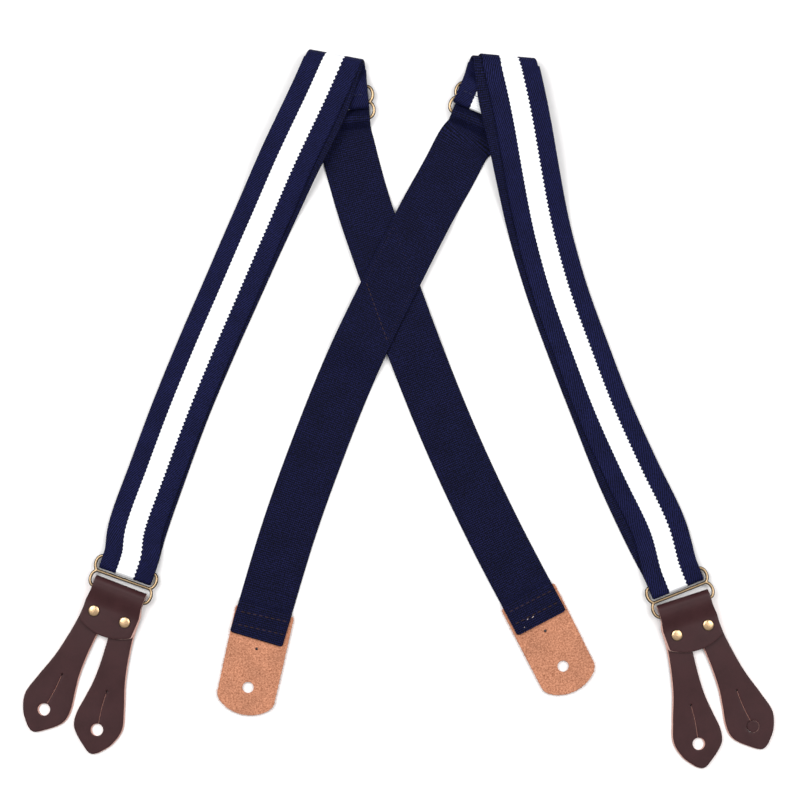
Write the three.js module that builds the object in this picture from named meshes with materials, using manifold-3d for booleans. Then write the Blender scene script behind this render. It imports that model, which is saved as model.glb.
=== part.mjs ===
// Button-on suspenders: two elastic webbing straps crossed and sewn at the back, folded over at the
// shoulders, each ending in front in a double-loop ring and a forked leather tab with button holes.
// The object lies face up in front and inside up at the back, on the plane z = 0, +Y towards the
// shoulders. Millimetres. The origin is the centre of the leather cross patch, on its underside.
import * as THREE from 'three';
import { mergeVertices } from 'three/addons/utils/BufferGeometryUtils.js';
import Module from 'manifold-3d';

const wasm = await Module();
wasm.setup();

// ---------------------------------------------------------------- driving dimensions
const WEB_WIDTH = 35;
const WEB = 1.3; // webbing thickness
const AIR = 0.25; // room between layers that lie on each other
const CUT = 0.3; // room between two stretches of one strap
const ON_TABLE = WEB / 2; // height of the middle of a strap that lies on the table
const SECOND_LAYER = ON_TABLE + WEB + AIR;

// double-loop fitting, used as the strap slide and as the front ring
const WIRE = 1.05; // radius of the cast wire
const LOOP_PITCH = 10; // bar to bar
const BAR_HALF = 17; // half the straight length of a bar
const RING_END = 3.35; // how far the ring's round ends stand out past the bar
const SLIDE_END = 3.5; // and the slide's
const SLIDE_HEIGHT = WEB + AIR + WEB + AIR + WIRE;

// shoulder fold: the strap outside, the doubled-back strap nested inside it
const FOLD_HEIGHT = 5.7;
const FOLD_RADIUS = 5.05;
const INNER_FOLD_RADIUS = 3.5;
const FRONT_HIGH = FOLD_HEIGHT + FOLD_RADIUS;
const RETURN_HIGH = FOLD_HEIGHT + INNER_FOLD_RADIUS;

// front tab leather
const LEATHER = 2.2;
const RIVET_FOOT = 0.9; // the rivets' back caps lift the leather this much
const BAR_ROOM = 0.5; // room between the leather loop and the ring's bar
const TAB_FOLD = 6.8; // the fold reaches this far past the bar
const BAND_HALF = 18.2;
const FOLD_HALF = 17.5; // narrower at the bar, clear of the loop's round ends
const FLAP_END = -28.6;
const TAB_TIP = -102;
const EAR_HOLE = { x: 18.2, y: -86.2, radius: 3.95 };
const RELIEF_HOLE = { x: 15.4, y: -61, radius: 0.6 };
const RIVET = { x: 10.5, y: -15.2, cap: 3.6, post: 1.4, hole: 1.75 };
const RING_TILT = THREE.MathUtils.degToRad(-5.6);
const BIGHT_ROOM = 0.35;
const BIGHT_RADIUS = WIRE + BIGHT_ROOM + WEB / 2;
const BIGHT_REACH = 5.4; // the strap's turn hangs loose, this far past the bar
const RING_HEIGHT = BIGHT_RADIUS + WEB / 2 + 0.1;
const BAR_HEIGHT = RING_HEIGHT - 2 * LOOP_PITCH * Math.sin(RING_TILT);
const BAR_Y = -2 * LOOP_PITCH * Math.cos(RING_TILT);

// back tab leather
const BACK_TAB = { half: 19.1, top: 19, tip: -49, hole: -31.3, radius: 3.6, relief: -5.9, reliefRadius: 0.6 };
const BACK_LEATHER = 2.2;
const ON_BACK_TAB = BACK_LEATHER + AIR + WEB / 2;
const STITCH_ROWS = [7, 15.5]; // rows above the strap's end
const STITCH_LENGTH = 31;
const FLEX = { from: 24, to: 32 }; // the webbing that bends above the back tab

// leather patch at the crossing
const PATCH = 1.5;
const CROSS_LOW = PATCH + AIR + WEB / 2;
const CROSS_HIGH = CROSS_LOW + WEB + AIR;
const CROSS_HALF_ANGLE = THREE.MathUtils.degToRad(22.95);
const CROSS_TURN = THREE.MathUtils.degToRad(-3.2);
const CROSS_FLAT = 43; // a strap lies at its crossing height this far either way
const CROSS_FOOT = 68; // and is down on the table by here
const PATCH_INSET = 0.2;
const CROSS_ROW = { outside: 2.8, inside: 3.6 }; // the stitched line, in from the straps' edges

// sewing
const THREAD = { width: 0.6, height: 0.4 };
const THREAD_ROOM = 0.1;

// the straps below the shoulders
const SETTLE = { from: 55, to: 115 }; // the front comes down to the table over these distances
const RISE_TO_RING = { from: 30, to: 2 }; // and up over these distances before the ring's bar

// ---------------------------------------------------------------- strap routes, seen from above
// Each route runs from the shoulder fold. Back routes end at the back tab, front ones at the ring.
const SIDES = {
  left: {
    foldAxis: [0.982, -0.187],
    foldCentre: [-35.3, 140.9],
    slide: [-31.35, 114.7],
    slideHeading: THREE.MathUtils.degToRad(5.2),
    mainShift: 2.05,
    returnShift: [1.9, -0.3],
    slideReturnShift: 0,
    back: [[-27.3, 87], [-23.8, 73.2], [-16.4, 47.5], [0, 0], [20.5, -55.2], [41.7, -106.6],
      [65.8, -157.9], [96.9, -217.4]],
    crossHeight: CROSS_LOW,
    front: [[-46.8, 120], [-56.3, 100], [-69, 73.2], [-86.3, 34.7], [-103, -3.9], [-119.7, -42.4],
      [-135.5, -80.9], [-149.9, -119.4], [-163.6, -157.9], [-165.5, -173]],
    returning: [[-41.9, 120], [-50.9, 100], [-63.9, 74.5], [-82.3, 36], [-99.8, -2.6], [-117.2, -41.6],
      [-133.4, -80.2], [-147.5, -118.6], [-161, -157.4], [-165.2, -172.8]],
    ring: [-167.6, -180],
    ringTurn: THREE.MathUtils.degToRad(-19.6),
    tabSkew: THREE.MathUtils.degToRad(-1.4),
    tabShift: 0,
    backTab: [96.5, -217.2],
    backTabTurn: THREE.MathUtils.degToRad(26.9),
    pluggedHole: false,
  },
  right: {
    foldAxis: [0.9965, -0.0837],
    foldCentre: [74.1, 139.9],
    slide: [59.2, 112.6],
    slideHeading: THREE.MathUtils.degToRad(-23),
    mainShift: -2.58,
    returnShift: [-6.6, -3.0],
    slideReturnShift: -1.6,
    back: [[47.2, 90], [38.3, 73.2], [24.1, 47.5], [0, 0], [-26.3, -55.2], [-46.9, -106.6],
      [-65.2, -157.9], [-86.1, -227.7]],
    crossHeight: CROSS_HIGH,
    front: [[81.2, 120], [85.2, 100], [89.9, 73.2], [97.9, 34.7], [108.5, -3.9], [122.3, -42.4],
      [137.1, -80.9], [154.4, -119.4], [172.6, -157.9], [178.8, -181.4]],
    returning: [[73.3, 120], [78.2, 99], [83.9, 72.2], [93.1, 33.8], [104.9, -5.1], [119, -43.9],
      [133.9, -82.4], [149.5, -121.6], [167.6, -160.6], [178.2, -181.1]],
    ring: [181.5, -188.5],
    ringTurn: THREE.MathUtils.degToRad(21.7),
    tabSkew: THREE.MathUtils.degToRad(-3.8),
    tabShift: -0.4,
    backTab: [-84.5, -228.2],
    backTabTurn: THREE.MathUtils.degToRad(-12.6),
    pluggedHole: true,
  },
};

// ---------------------------------------------------------------- materials
const material = (color, roughness, metalness = 0) =>
  new THREE.MeshStandardMaterial({ color, roughness, metalness });
const WEBBING = material(0x1a1d42, 0.75);
const TAB_LEATHER = material(0x4a3235, 0.5);
const SUEDE = material(0xd99b76, 0.9);
const BRASS = material(0xa8906a, 0.35, 1);
const RIVET_BRASS = material(0xd9b978, 0.3, 1);
const BROWN_THREAD = material(0x5a3028, 0.8);
const NAVY_THREAD = material(0x14162e, 0.8);

// ---------------------------------------------------------------- solids
function solidOf(geometry) {
  const bare = geometry.clone();
  bare.deleteAttribute('normal');
  bare.deleteAttribute('uv');
  const merged = mergeVertices(bare, 1e-4);
  return new wasm.Manifold(new wasm.Mesh({
    numProp: 3,
    vertProperties: new Float32Array(merged.attributes.position.array),
    triVerts: new Uint32Array(merged.index.array),
  }));
}

function geometryOf(solid) {
  const mesh = solid.getMesh();
  const geometry = new THREE.BufferGeometry();
  geometry.setAttribute('position', new THREE.BufferAttribute(mesh.vertProperties, 3));
  geometry.setIndex(new THREE.BufferAttribute(mesh.triVerts, 1));
  geometry.computeVertexNormals();
  return geometry;
}

const root = new THREE.Group();

function place(name, geometry, look, group = root) {
  const mesh = new THREE.Mesh(geometry, look);
  mesh.name = name;
  group.add(mesh);
  return mesh;
}

// Closed mesh from rings of points: each ring is joined to the next, and the two ends are capped.
function skin(rings, closed = false) {
  const sides = rings[0].length;
  const positions = rings.flat().flatMap((p) => [p.x, p.y, p.z]);
  const faces = [];
  const last = closed ? rings.length : rings.length - 1;
  for (let i = 0; i < last; i += 1) {
    const here = i * sides;
    const there = ((i + 1) % rings.length) * sides;
    for (let k = 0; k < sides; k += 1) {
      const next = (k + 1) % sides;
      faces.push(here + k, there + k, there + next, here + k, there + next, here + next);
    }
  }
  if (!closed) {
    const end = (rings.length - 1) * sides;
    for (let k = 1; k < sides - 1; k += 1) {
      faces.push(0, k, k + 1, end, end + k + 1, end + k);
    }
  }
  const geometry = new THREE.BufferGeometry();
  geometry.setAttribute('position', new THREE.Float32BufferAttribute(positions, 3));
  geometry.setIndex(faces);
  geometry.computeVertexNormals();
  return geometry;
}

// The webbing's own upward direction at each station { centre, side }, side being its half width.
function framed(stations) {
  return stations.map(({ centre, side }, i) => {
    const before = stations[Math.max(i - 1, 0)].centre;
    const after = stations[Math.min(i + 1, stations.length - 1)].centre;
    const up = side.clone().cross(after.clone().sub(before)).setLength(WEB / 2);
    return { centre, side, up };
  });
}

// Flat band of webbing through framed stations.
function band(frames) {
  return skin(frames.map(({ centre, side, up }) => {
    const corner = (a, b) => centre.clone().addScaledVector(side, a).addScaledVector(up, b);
    return [corner(-1, -1), corner(1, -1), corner(1, 1), corner(-1, 1)];
  }));
}

const planCurve = (points) =>
  new THREE.CatmullRomCurve3(points.map(([x, y]) => new THREE.Vector3(x, y, 0)), false, 'centripetal');

const smooth = (from, to, x) => THREE.MathUtils.smoothstep(x, from, to);

// Stations along a route for pairs [distance, height]. Near a fold, or at the ring's bar, the band's
// cross lines turn from square across to that axis, over the last stretch of length TURN_OVER.
const TURN_OVER = 9;

function stationsAlong(route, list, startAxis = null, endAxis = null) {
  const total = route.getLength();
  return list.map(([distance, height]) => {
    const u = THREE.MathUtils.clamp(distance / total, 0, 1);
    const centre = route.getPointAt(u);
    const heading = route.getTangentAt(u);
    centre.addScaledVector(heading, distance - u * total);
    centre.z = height;
    const square = new THREE.Vector3(heading.y, -heading.x, 0);
    const across = square.clone();
    for (const [axis, away] of [[startAxis, distance], [endAxis, total - distance]]) {
      if (axis) {
        const target = axis.clone().multiplyScalar(Math.sign(axis.dot(square)));
        across.lerp(target, 1 - smooth(0, TURN_OVER, away)).normalize();
      }
    }
    return { centre, side: across.multiplyScalar(WEB_WIDTH / 2 / across.dot(square)) };
  });
}

function pairs(from, to, step, heightAt) {
  const count = Math.max(1, Math.round((to - from) / step));
  return Array.from({ length: count + 1 }, (_, i) => {
    const distance = from + ((to - from) * i) / count;
    return [distance, heightAt(distance)];
  });
}

// Half turn of webbing about a level axis: from the lower leg, outwards and up to the upper leg.
function halfTurn(centre, axis, outward, radius, shiftLow, shiftHigh, count) {
  const margin = CUT / 2 / radius;
  return Array.from({ length: count + 1 }, (_, i) => {
    const angle = margin + ((Math.PI - 2 * margin) * i) / count;
    const shift = shiftLow + ((shiftHigh - shiftLow) * angle) / Math.PI;
    const point = centre.clone().addScaledVector(axis, shift);
    point.addScaledVector(outward, radius * Math.sin(angle));
    point.z -= radius * Math.cos(angle);
    return { centre: point, side: axis.clone().multiplyScalar(WEB_WIDTH / 2) };
  });
}

// The pairs between two distances, with a level run in front of them that starts at the fold.
function fromFold(list, end) {
  const kept = list.filter(([s]) => s > CUT / 2 && s < end);
  const [first, height] = kept[0];
  const level = first > 2 ? pairs(CUT / 2, first - 1, 4, () => height) : [];
  return [...level, ...kept];
}

// Distance along a route to its nearest approach to a point.
function distanceTo(route, [x, y]) {
  const samples = 2000;
  const target = new THREE.Vector3(x, y, 0);
  let best = 0;
  for (let i = 1; i <= samples; i += 1) {
    const nearer = route.getPointAt(i / samples).distanceTo(target)
      < route.getPointAt(best / samples).distanceTo(target);
    if (nearer) best = i;
  }
  return (best / samples) * route.getLength();
}

// ---------------------------------------------------------------- the double-loop fitting
// One loop: straight bars at top and LOOP_PITCH below it, joined by half ellipses at both ends.
function wireLoop(top, reach) {
  const arcSteps = 8;
  const sides = 8;
  const middle = top - LOOP_PITCH / 2;
  const spine = [];
  for (const end of [1, -1]) {
    for (let i = 0; i <= arcSteps; i += 1) {
      const angle = Math.PI / 2 - (Math.PI * i) / arcSteps;
      spine.push(new THREE.Vector3(
        end * (BAR_HALF + reach * Math.cos(angle)),
        middle + (end * LOOP_PITCH * Math.sin(angle)) / 2,
        0,
      ));
    }
  }
  const rings = spine.map((point, i) => {
    const before = spine[(i + spine.length - 1) % spine.length];
    const after = spine[(i + 1) % spine.length];
    const along = after.clone().sub(before).normalize();
    const outward = new THREE.Vector3(-along.y, along.x, 0);
    return Array.from({ length: sides }, (_, k) => {
      const angle = (2 * Math.PI * (k + 0.5)) / sides;
      const vertex = point.clone().addScaledVector(outward, WIRE * Math.cos(angle));
      vertex.z -= WIRE * Math.sin(angle);
      return vertex;
    });
  });
  return solidOf(skin(rings, true));
}

function doubleLoop(reach) {
  return geometryOf(wireLoop(0, reach).add(wireLoop(-LOOP_PITCH, reach)));
}

// ---------------------------------------------------------------- leather
const extrude = (shape, depth) =>
  new THREE.ExtrudeGeometry(shape, { depth, bevelEnabled: false, curveSegments: 8 });

function post(x, y, radius, sides = 16) {
  const geometry = new THREE.CylinderGeometry(radius, radius, 30, sides);
  geometry.rotateX(Math.PI / 2);
  geometry.translate(x, y, 0);
  return solidOf(geometry);
}

// A side profile drawn in (y, z), drawn out across the whole width.
function acrossWidth(profile) {
  const width = 80;
  const geometry = extrude(profile, width);
  geometry.applyMatrix4(new THREE.Matrix4().makeBasis(
    new THREE.Vector3(0, 1, 0), new THREE.Vector3(0, 0, 1), new THREE.Vector3(1, 0, 0)));
  geometry.translate(-width / 2, 0, 0);
  return solidOf(geometry);
}

function throughHeight(outline) {
  const geometry = extrude(outline, 20);
  geometry.translate(0, 0, -5);
  return solidOf(geometry);
}

const flat = (points) => points.map(([x, y]) => new THREE.Vector2(x, y));

// Height of the leather's underside: level under the band, easing down to the table in the ears.
const earHeight = (y) => RIVET_FOOT * (1 - smooth(35, 75, -y));

function lowerProfile() {
  const steps = 12;
  const ys = [2, -34];
  for (let i = 1; i <= steps; i += 1) ys.push(-34 - (42 * i) / steps);
  ys.push(TAB_TIP - 2);
  const under = ys.map((y) => [y, earHeight(y)]);
  const over = ys.map((y) => [y, earHeight(y) + LEATHER]).reverse();
  return new THREE.Shape(flat([...under, ...over]));
}

function foldProfile() {
  const inner = WIRE + BAR_ROOM;
  const outer = inner + LEATHER;
  const turn = TAB_FOLD - outer;
  const steps = 10;
  const arc = (radius) => Array.from({ length: steps + 1 }, (_, i) => {
    const angle = (Math.PI * i) / steps - Math.PI / 2;
    return [turn + radius * Math.cos(angle), BAR_HEIGHT + radius * Math.sin(angle)];
  });
  const bottom = BAR_HEIGHT + inner;
  const rest = BAR_HEIGHT - inner + AIR;
  const drop = (y) => rest + (bottom - rest) * (1 - smooth(-1, 12, -y));
  const ys = [1, 0, -2, -4, -6, -8, -10, -12, FLAP_END - 2];
  const flapTop = ys.map((y) => [y, drop(y) + LEATHER]);
  const flapBottom = ys.map((y) => [y, drop(y)]).reverse();
  return new THREE.Shape(flat([
    [-0.5, BAR_HEIGHT - outer], ...arc(outer), ...flapTop, ...flapBottom, ...arc(inner).reverse(),
    [-0.5, BAR_HEIGHT - inner],
  ]));
}

function flapOutline() {
  const shape = new THREE.Shape();
  shape.moveTo(-FOLD_HALF, 10);
  shape.lineTo(-FOLD_HALF, -3);
  shape.lineTo(-BAND_HALF, -10);
  shape.lineTo(-17.7, -22.3);
  shape.quadraticCurveTo(-17.6, -23.6, -16.2, -24.2);
  shape.quadraticCurveTo(0, FLAP_END - 4.4, 16.2, -24.2);
  shape.quadraticCurveTo(17.6, -23.6, 17.7, -22.3);
  shape.lineTo(BAND_HALF, -10);
  shape.lineTo(FOLD_HALF, -3);
  shape.lineTo(FOLD_HALF, 10);
  return shape;
}

// Band and two ears, drawn for the right half from the slot outwards and mirrored.
function earsOutline() {
  const slotTop = [0, -21];
  const inner = [[3.4, -25], [4.2, -33], [5, -46], [4.9, -58], [3.6, -69], [2.1, -80], [3, -88],
    [7, -93.5], [14.5, -99.4]];
  const outer = [[25.3, -98.6], [30.6, -91.2], [33.2, -80.5], [29.8, -68], [24.2, -51.5], [20.8, -36.5],
    [18.6, -22], [BAND_HALF, -10]];
  const tip = [[17.6, -101.4], [20, -102], [22.2, -101.2]];
  const half = [...inner, ...tip, ...outer];
  const curve = new THREE.SplineCurve(flat(half)).getPoints(half.length * 3);
  const right = flat([slotTop]).concat(curve, flat([[FOLD_HALF, -3], [FOLD_HALF, 10]]));
  const left = right.slice(1).reverse().map((p) => new THREE.Vector2(-p.x, p.y));
  return new THREE.Shape([...right, ...left]);
}

function frontTab() {
  const lower = acrossWidth(lowerProfile()).intersect(throughHeight(earsOutline()));
  const folded = acrossWidth(foldProfile()).intersect(throughHeight(flapOutline()));
  let leather = lower.add(folded);
  for (const side of [-1, 1]) {
    leather = leather.subtract(post(side * EAR_HOLE.x, EAR_HOLE.y, EAR_HOLE.radius));
    leather = leather.subtract(post(side * RELIEF_HOLE.x, RELIEF_HOLE.y, RELIEF_HOLE.radius, 8));
    leather = leather.subtract(post(side * RIVET.x, RIVET.y, RIVET.hole));
  }
  return geometryOf(leather);
}

function turned(profile, sides = 14) {
  const geometry = new THREE.LatheGeometry(flat(profile), sides);
  geometry.rotateX(Math.PI / 2);
  return mergeVertices(dropSurface(geometry), 1e-4);
}

function dropSurface(geometry) {
  geometry.deleteAttribute('uv');
  geometry.deleteAttribute('normal');
  return geometry;
}

// Domed cap and the post below it, as one turned piece.
function rivetCap() {
  const flapTop = BAR_HEIGHT - WIRE - BAR_ROOM + AIR + LEATHER;
  const under = flapTop + 0.1;
  return turned([
    [0, RIVET_FOOT + 0.1], [RIVET.post, RIVET_FOOT + 0.1], [RIVET.post, under], [RIVET.cap, under],
    [RIVET.cap, under + 0.35], [RIVET.cap * 0.86, under + 0.9], [RIVET.cap * 0.5, under + 1.25],
    [0, under + 1.35],
  ]);
}

function rivetBack() {
  return turned([[0, 0], [RIVET.cap - 0.6, 0], [RIVET.cap - 0.1, 0.3], [RIVET.cap - 0.1, 0.8], [0, 0.8]]);
}

function backTab() {
  const { half, top, tip, hole, radius, relief, reliefRadius } = BACK_TAB;
  const shape = new THREE.Shape();
  shape.moveTo(-half + 2, top);
  shape.lineTo(half - 2, top);
  shape.quadraticCurveTo(half, top, half, top - 2);
  shape.lineTo(half - 0.4, tip + 11);
  shape.quadraticCurveTo(half - 0.6, tip + 7.5, half - 4.6, tip + 4.6);
  shape.quadraticCurveTo(8, tip, 0, tip);
  shape.quadraticCurveTo(-8, tip, -half + 4.6, tip + 4.6);
  shape.quadraticCurveTo(-half + 0.6, tip + 7.5, -half + 0.4, tip + 11);
  shape.lineTo(-half, top - 2);
  shape.quadraticCurveTo(-half, top, -half + 2, top);
  const leather = solidOf(extrude(shape, BACK_LEATHER));
  return geometryOf(leather.subtract(post(0, hole, radius)).subtract(post(0, relief, reliefRadius, 8)));
}

// ---------------------------------------------------------------- stitch rows and the cross patch
const stitchRow = (length) => new THREE.BoxGeometry(length, THREAD.width, THREAD.height);

function crossOutline(inset, Kind = THREE.Shape) {
  const side = WEB_WIDTH / Math.sin(2 * CROSS_HALF_ANGLE);
  const shrink = 1 - (2 * inset) / WEB_WIDTH;
  const long = side * Math.cos(CROSS_HALF_ANGLE) * shrink;
  const short = side * Math.sin(CROSS_HALF_ANGLE) * shrink;
  return new Kind(flat([[0, -long], [short, 0], [0, long], [-short, 0]]));
}

function crossPatch() {
  return extrude(crossOutline(PATCH_INSET), PATCH);
}

function crossStitching() {
  const shape = crossOutline(CROSS_ROW.outside);
  shape.holes.push(crossOutline(CROSS_ROW.inside, THREE.Path));
  return extrude(shape, THREAD.height);
}

const patch = place('cross_patch', crossPatch(), TAB_LEATHER);
patch.rotation.z = CROSS_TURN;
const crossRow = place('cross_stitching', crossStitching(), BROWN_THREAD);
crossRow.rotation.z = CROSS_TURN;
crossRow.position.z = CROSS_HIGH + WEB / 2 + THREAD_ROOM;

// ---------------------------------------------------------------- the webbing of one strap
// How the strap weaves through the slide, as [distance past the middle bar, height]: over the lower
// bar, under the middle one with the sewn loop, and over the upper one.
const CREST = SLIDE_HEIGHT + WIRE + AIR + WEB / 2;
const WEAVE_HALF = [[0, 0.65], [2.2, 0.68], [4.7, 1.9], [6.6, 4.1], [8.3, 5.7], [10.2, CREST + 0.05],
  [12.2, 5.4], [14.4, 3], [16.5, 1.15], [19, 0.66], [22, 0.65]];
const WEAVE_ABOVE = 16;
const WEAVE_BELOW = 22;
const RUN_BELOW = 56; // the stretch below the slide that takes up its travel

// The sewn loop: top layer, turn round the middle bar, and the end flap tucked back underneath.
const LOOP_TOP = CREST + WEB + AIR + 0.05;
const SEWN_LOOP = [[-22, FOLD_HEIGHT - INNER_FOLD_RADIUS], [-19.5, 2.5], [-16.5, 4.7], [-13.5, 6.95],
  [-10, LOOP_TOP], [-6, 7.25], [-2, 6.35], [1.2, 6.1]];
const SEWN_TURN = { y: 1.2, reach: 2.4, top: 6.1, bottom: 2.2 };
const SEWN_FLAP = [[1.2, 2.2], [-0.8, 2.25], [-2.6, 3.0], [-4.2, 4.25], [-5.3, 5.35]];
const TAB_ROW = { y: -4.6, height: 8.05, length: 32 }; // the row that holds the flap, above the middle bar

function splinePairs(points, count) {
  return new THREE.SplineCurve(flat(points)).getSpacedPoints(count).map((p) => [p.x, p.y]);
}

function weavePairs() {
  const above = WEAVE_HALF.slice(1).reverse().map(([w, z]) => [-w, z]);
  return splinePairs([...above, ...WEAVE_HALF], 56).map(([w, z]) => [w, Math.max(z, ON_TABLE)]);
}

function sewnPairs() {
  const turnSteps = 8;
  const { y, reach, top, bottom } = SEWN_TURN;
  const turn = Array.from({ length: turnSteps - 1 }, (_, i) => {
    const angle = (Math.PI * (i + 1)) / turnSteps;
    return [y + reach * Math.sin(angle), (top + bottom) / 2 + ((top - bottom) / 2) * Math.cos(angle)];
  });
  return [...splinePairs(SEWN_LOOP, 22), ...turn, ...splinePairs(SEWN_FLAP, 7)];
}

const vector = ([x, y]) => new THREE.Vector3(x, y, 0);

function webbing(name, side) {
  const foldAxis = vector(side.foldAxis).normalize();
  const outward = new THREE.Vector3(-foldAxis.y, foldAxis.x, 0);
  const foldAt = (shift) => {
    const point = vector(side.foldCentre).addScaledVector(foldAxis, shift);
    return [point.x, point.y];
  };
  const up = new THREE.Vector3(-Math.sin(side.slideHeading), Math.cos(side.slideHeading), 0);
  const bar = new THREE.Vector3(up.y, -up.x, 0);
  const nearSlide = (distance, shift = 0) => {
    const point = vector(side.slide).addScaledVector(up, -distance).addScaledVector(bar, shift);
    return [point.x, point.y];
  };
  const put = (part, stations) => place(`${name}_${part}`, band(framed(stations)), WEBBING);
  // Several stretches of one route: their frames are worked out together, so that their ends agree.
  const putStretches = (stretches, route, axis) => {
    const lists = Object.values(stretches);
    const frames = framed(stationsAlong(route, lists.flat(), axis));
    let first = 0;
    Object.keys(stretches).forEach((part, i) => {
      place(`${name}_${part}`, band(frames.slice(first, first + lists[i].length)), WEBBING);
      first += lists[i].length;
    });
  };

  // back of the strap, from the fold to the back tab
  const back = planCurve([foldAt(side.mainShift), nearSlide(-14), nearSlide(0), nearSlide(18), ...side.back]);
  const slideAt = distanceTo(back, side.slide);
  const crossAt = distanceTo(back, [0, 0]);
  const length = back.getLength();
  const crossing = (s) => 1 - smooth(CROSS_FLAT, CROSS_FOOT, Math.abs(s - crossAt));
  const backHeight = (s) => {
    const onTab = smooth(length - FLEX.from, length - BACK_TAB.top - 0.5, s);
    return ON_TABLE + (side.crossHeight - ON_TABLE) * crossing(s) + (ON_BACK_TAB - ON_TABLE) * onTab;
  };
  const weave = weavePairs().map(([w, z]) => [slideAt + w, z]);
  const weaveTop = slideAt - WEAVE_ABOVE;
  const weaveEnd = slideAt + WEAVE_BELOW;
  const runEnd = slideAt + RUN_BELOW;
  const flexStart = length - FLEX.to;
  const tabStart = length - FLEX.from;
  const stretch = (from, to, step) => pairs(from + CUT / 2, to - CUT / 2, step, backHeight);
  putStretches({
    adjusting_stretch_top: fromFold(weave, weaveTop),
    strap_in_slide: weave.filter(([s]) => s > weaveTop + CUT && s < weaveEnd - CUT),
    adjusting_stretch: stretch(weaveEnd, runEnd, 8),
    back_strap: stretch(runEnd, flexStart, 6),
    back_strap_flex: stretch(flexStart, tabStart, 4),
    back_strap_end: pairs(tabStart + CUT / 2, length, 1.5, backHeight),
  }, back, foldAxis);

  // shoulder fold
  const foldCentre = vector(side.foldCentre).setZ(FOLD_HEIGHT);
  put('shoulder_fold', halfTurn(foldCentre, foldAxis, outward, FOLD_RADIUS,
    side.mainShift, -side.mainShift, 14));
  put('inner_shoulder_fold', halfTurn(foldCentre, foldAxis, outward, INNER_FOLD_RADIUS,
    ...side.returnShift, 12));

  // front of the strap, down to the ring
  const ringAxis = new THREE.Vector3(Math.cos(side.ringTurn), Math.sin(side.ringTurn), 0);
  const down = new THREE.Vector3(ringAxis.y, -ringAxis.x, 0);
  const bightPoint = vector(side.ring).addScaledVector(down, BIGHT_REACH);
  const bight = [bightPoint.x, bightPoint.y];
  const front = planCurve([foldAt(-side.mainShift), ...side.front, side.ring, bight]);
  const frontLength = front.getLength();
  const settle = (s) => smooth(SETTLE.from, SETTLE.to, s);
  const atRing = (s, total) =>
    smooth(total - BIGHT_REACH - RISE_TO_RING.from, total - BIGHT_REACH - RISE_TO_RING.to, s);
  const frontHeight = (s) => FRONT_HIGH + (SECOND_LAYER - FRONT_HIGH) * settle(s)
    + (RING_HEIGHT + BIGHT_RADIUS - SECOND_LAYER) * atRing(s, frontLength);
  put('front_strap', stationsAlong(front,
    pairs(CUT / 2, frontLength - CUT / 2, 6, frontHeight), foldAxis, ringAxis));
  put('strap_bight', halfTurn(bightPoint.setZ(RING_HEIGHT), ringAxis, down, BIGHT_RADIUS, 0, 0, 10));

  // the doubled-back strap: from the ring up under the front, over the shoulder and to the slide
  const returning = planCurve([foldAt(side.returnShift[1]), ...side.returning, side.ring, bight]);
  const returnLength = returning.getLength();
  const returnHeight = (s) => RETURN_HIGH + (ON_TABLE - RETURN_HIGH) * settle(s)
    + (RING_HEIGHT - BIGHT_RADIUS - ON_TABLE) * atRing(s, returnLength);
  put('return_strap', stationsAlong(returning,
    pairs(CUT / 2, returnLength - CUT / 2, 6, returnHeight), foldAxis, ringAxis));
  const shift = side.slideReturnShift;
  const doubled = planCurve([foldAt(side.returnShift[0]), nearSlide(-14, shift), nearSlide(0, shift),
    nearSlide(10, shift)]);
  const barAt = distanceTo(doubled, nearSlide(0, shift));
  const sewn = sewnPairs().map(([w, z]) => [barAt + w, z]);
  const loopFrom = barAt - WEAVE_ABOVE;
  putStretches({
    return_strap_end: fromFold(sewn, loopFrom),
    sewn_loop: sewn.slice(sewn.findIndex(([s]) => s > loopFrom + CUT)),
  }, doubled, foldAxis);

  const slide = place(`${name}_slide`, doubleLoop(SLIDE_END), BRASS);
  slide.geometry.translate(0, LOOP_PITCH, 0);
  slide.position.set(side.slide[0], side.slide[1], SLIDE_HEIGHT);
  slide.rotation.z = side.slideHeading;
  const row = place(`${name}_slide_stitching`, stitchRow(TAB_ROW.length), NAVY_THREAD);
  const [rowX, rowY] = nearSlide(TAB_ROW.y, shift);
  row.position.set(rowX, rowY, TAB_ROW.height);
  row.rotation.z = side.slideHeading;
}

// ---------------------------------------------------------------- ring, front tab and back tab
function frontFittings(name, side) {
  const fittings = new THREE.Group();
  fittings.position.set(side.ring[0], side.ring[1], 0);
  fittings.rotation.z = side.ringTurn;
  root.add(fittings);
  const ring = place(`${name}_front_ring`, doubleLoop(RING_END), BRASS, fittings);
  ring.position.z = RING_HEIGHT;
  ring.rotation.x = RING_TILT;
  const tab = new THREE.Group();
  tab.position.set(side.tabShift, BAR_Y, 0);
  tab.rotation.z = side.tabSkew;
  fittings.add(tab);
  place(`${name}_front_tab`, frontTab(), TAB_LEATHER, tab);
  for (const [label, x] of [['left', -RIVET.x], ['right', RIVET.x]]) {
    place(`${name}_tab_${label}_rivet`, rivetCap(), RIVET_BRASS, tab).position.set(x, RIVET.y, 0);
    place(`${name}_tab_${label}_rivet_back`, rivetBack(), RIVET_BRASS, tab).position.set(x, RIVET.y, 0);
  }
  if (side.pluggedHole) {
    const disc = turned([[0, 0], [EAR_HOLE.radius - 0.3, 0], [EAR_HOLE.radius - 0.3, LEATHER], [0, LEATHER]]);
    place(`${name}_tab_punched_disc`, disc, TAB_LEATHER, tab).position.set(EAR_HOLE.x, EAR_HOLE.y, 0);
  }
}

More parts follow.
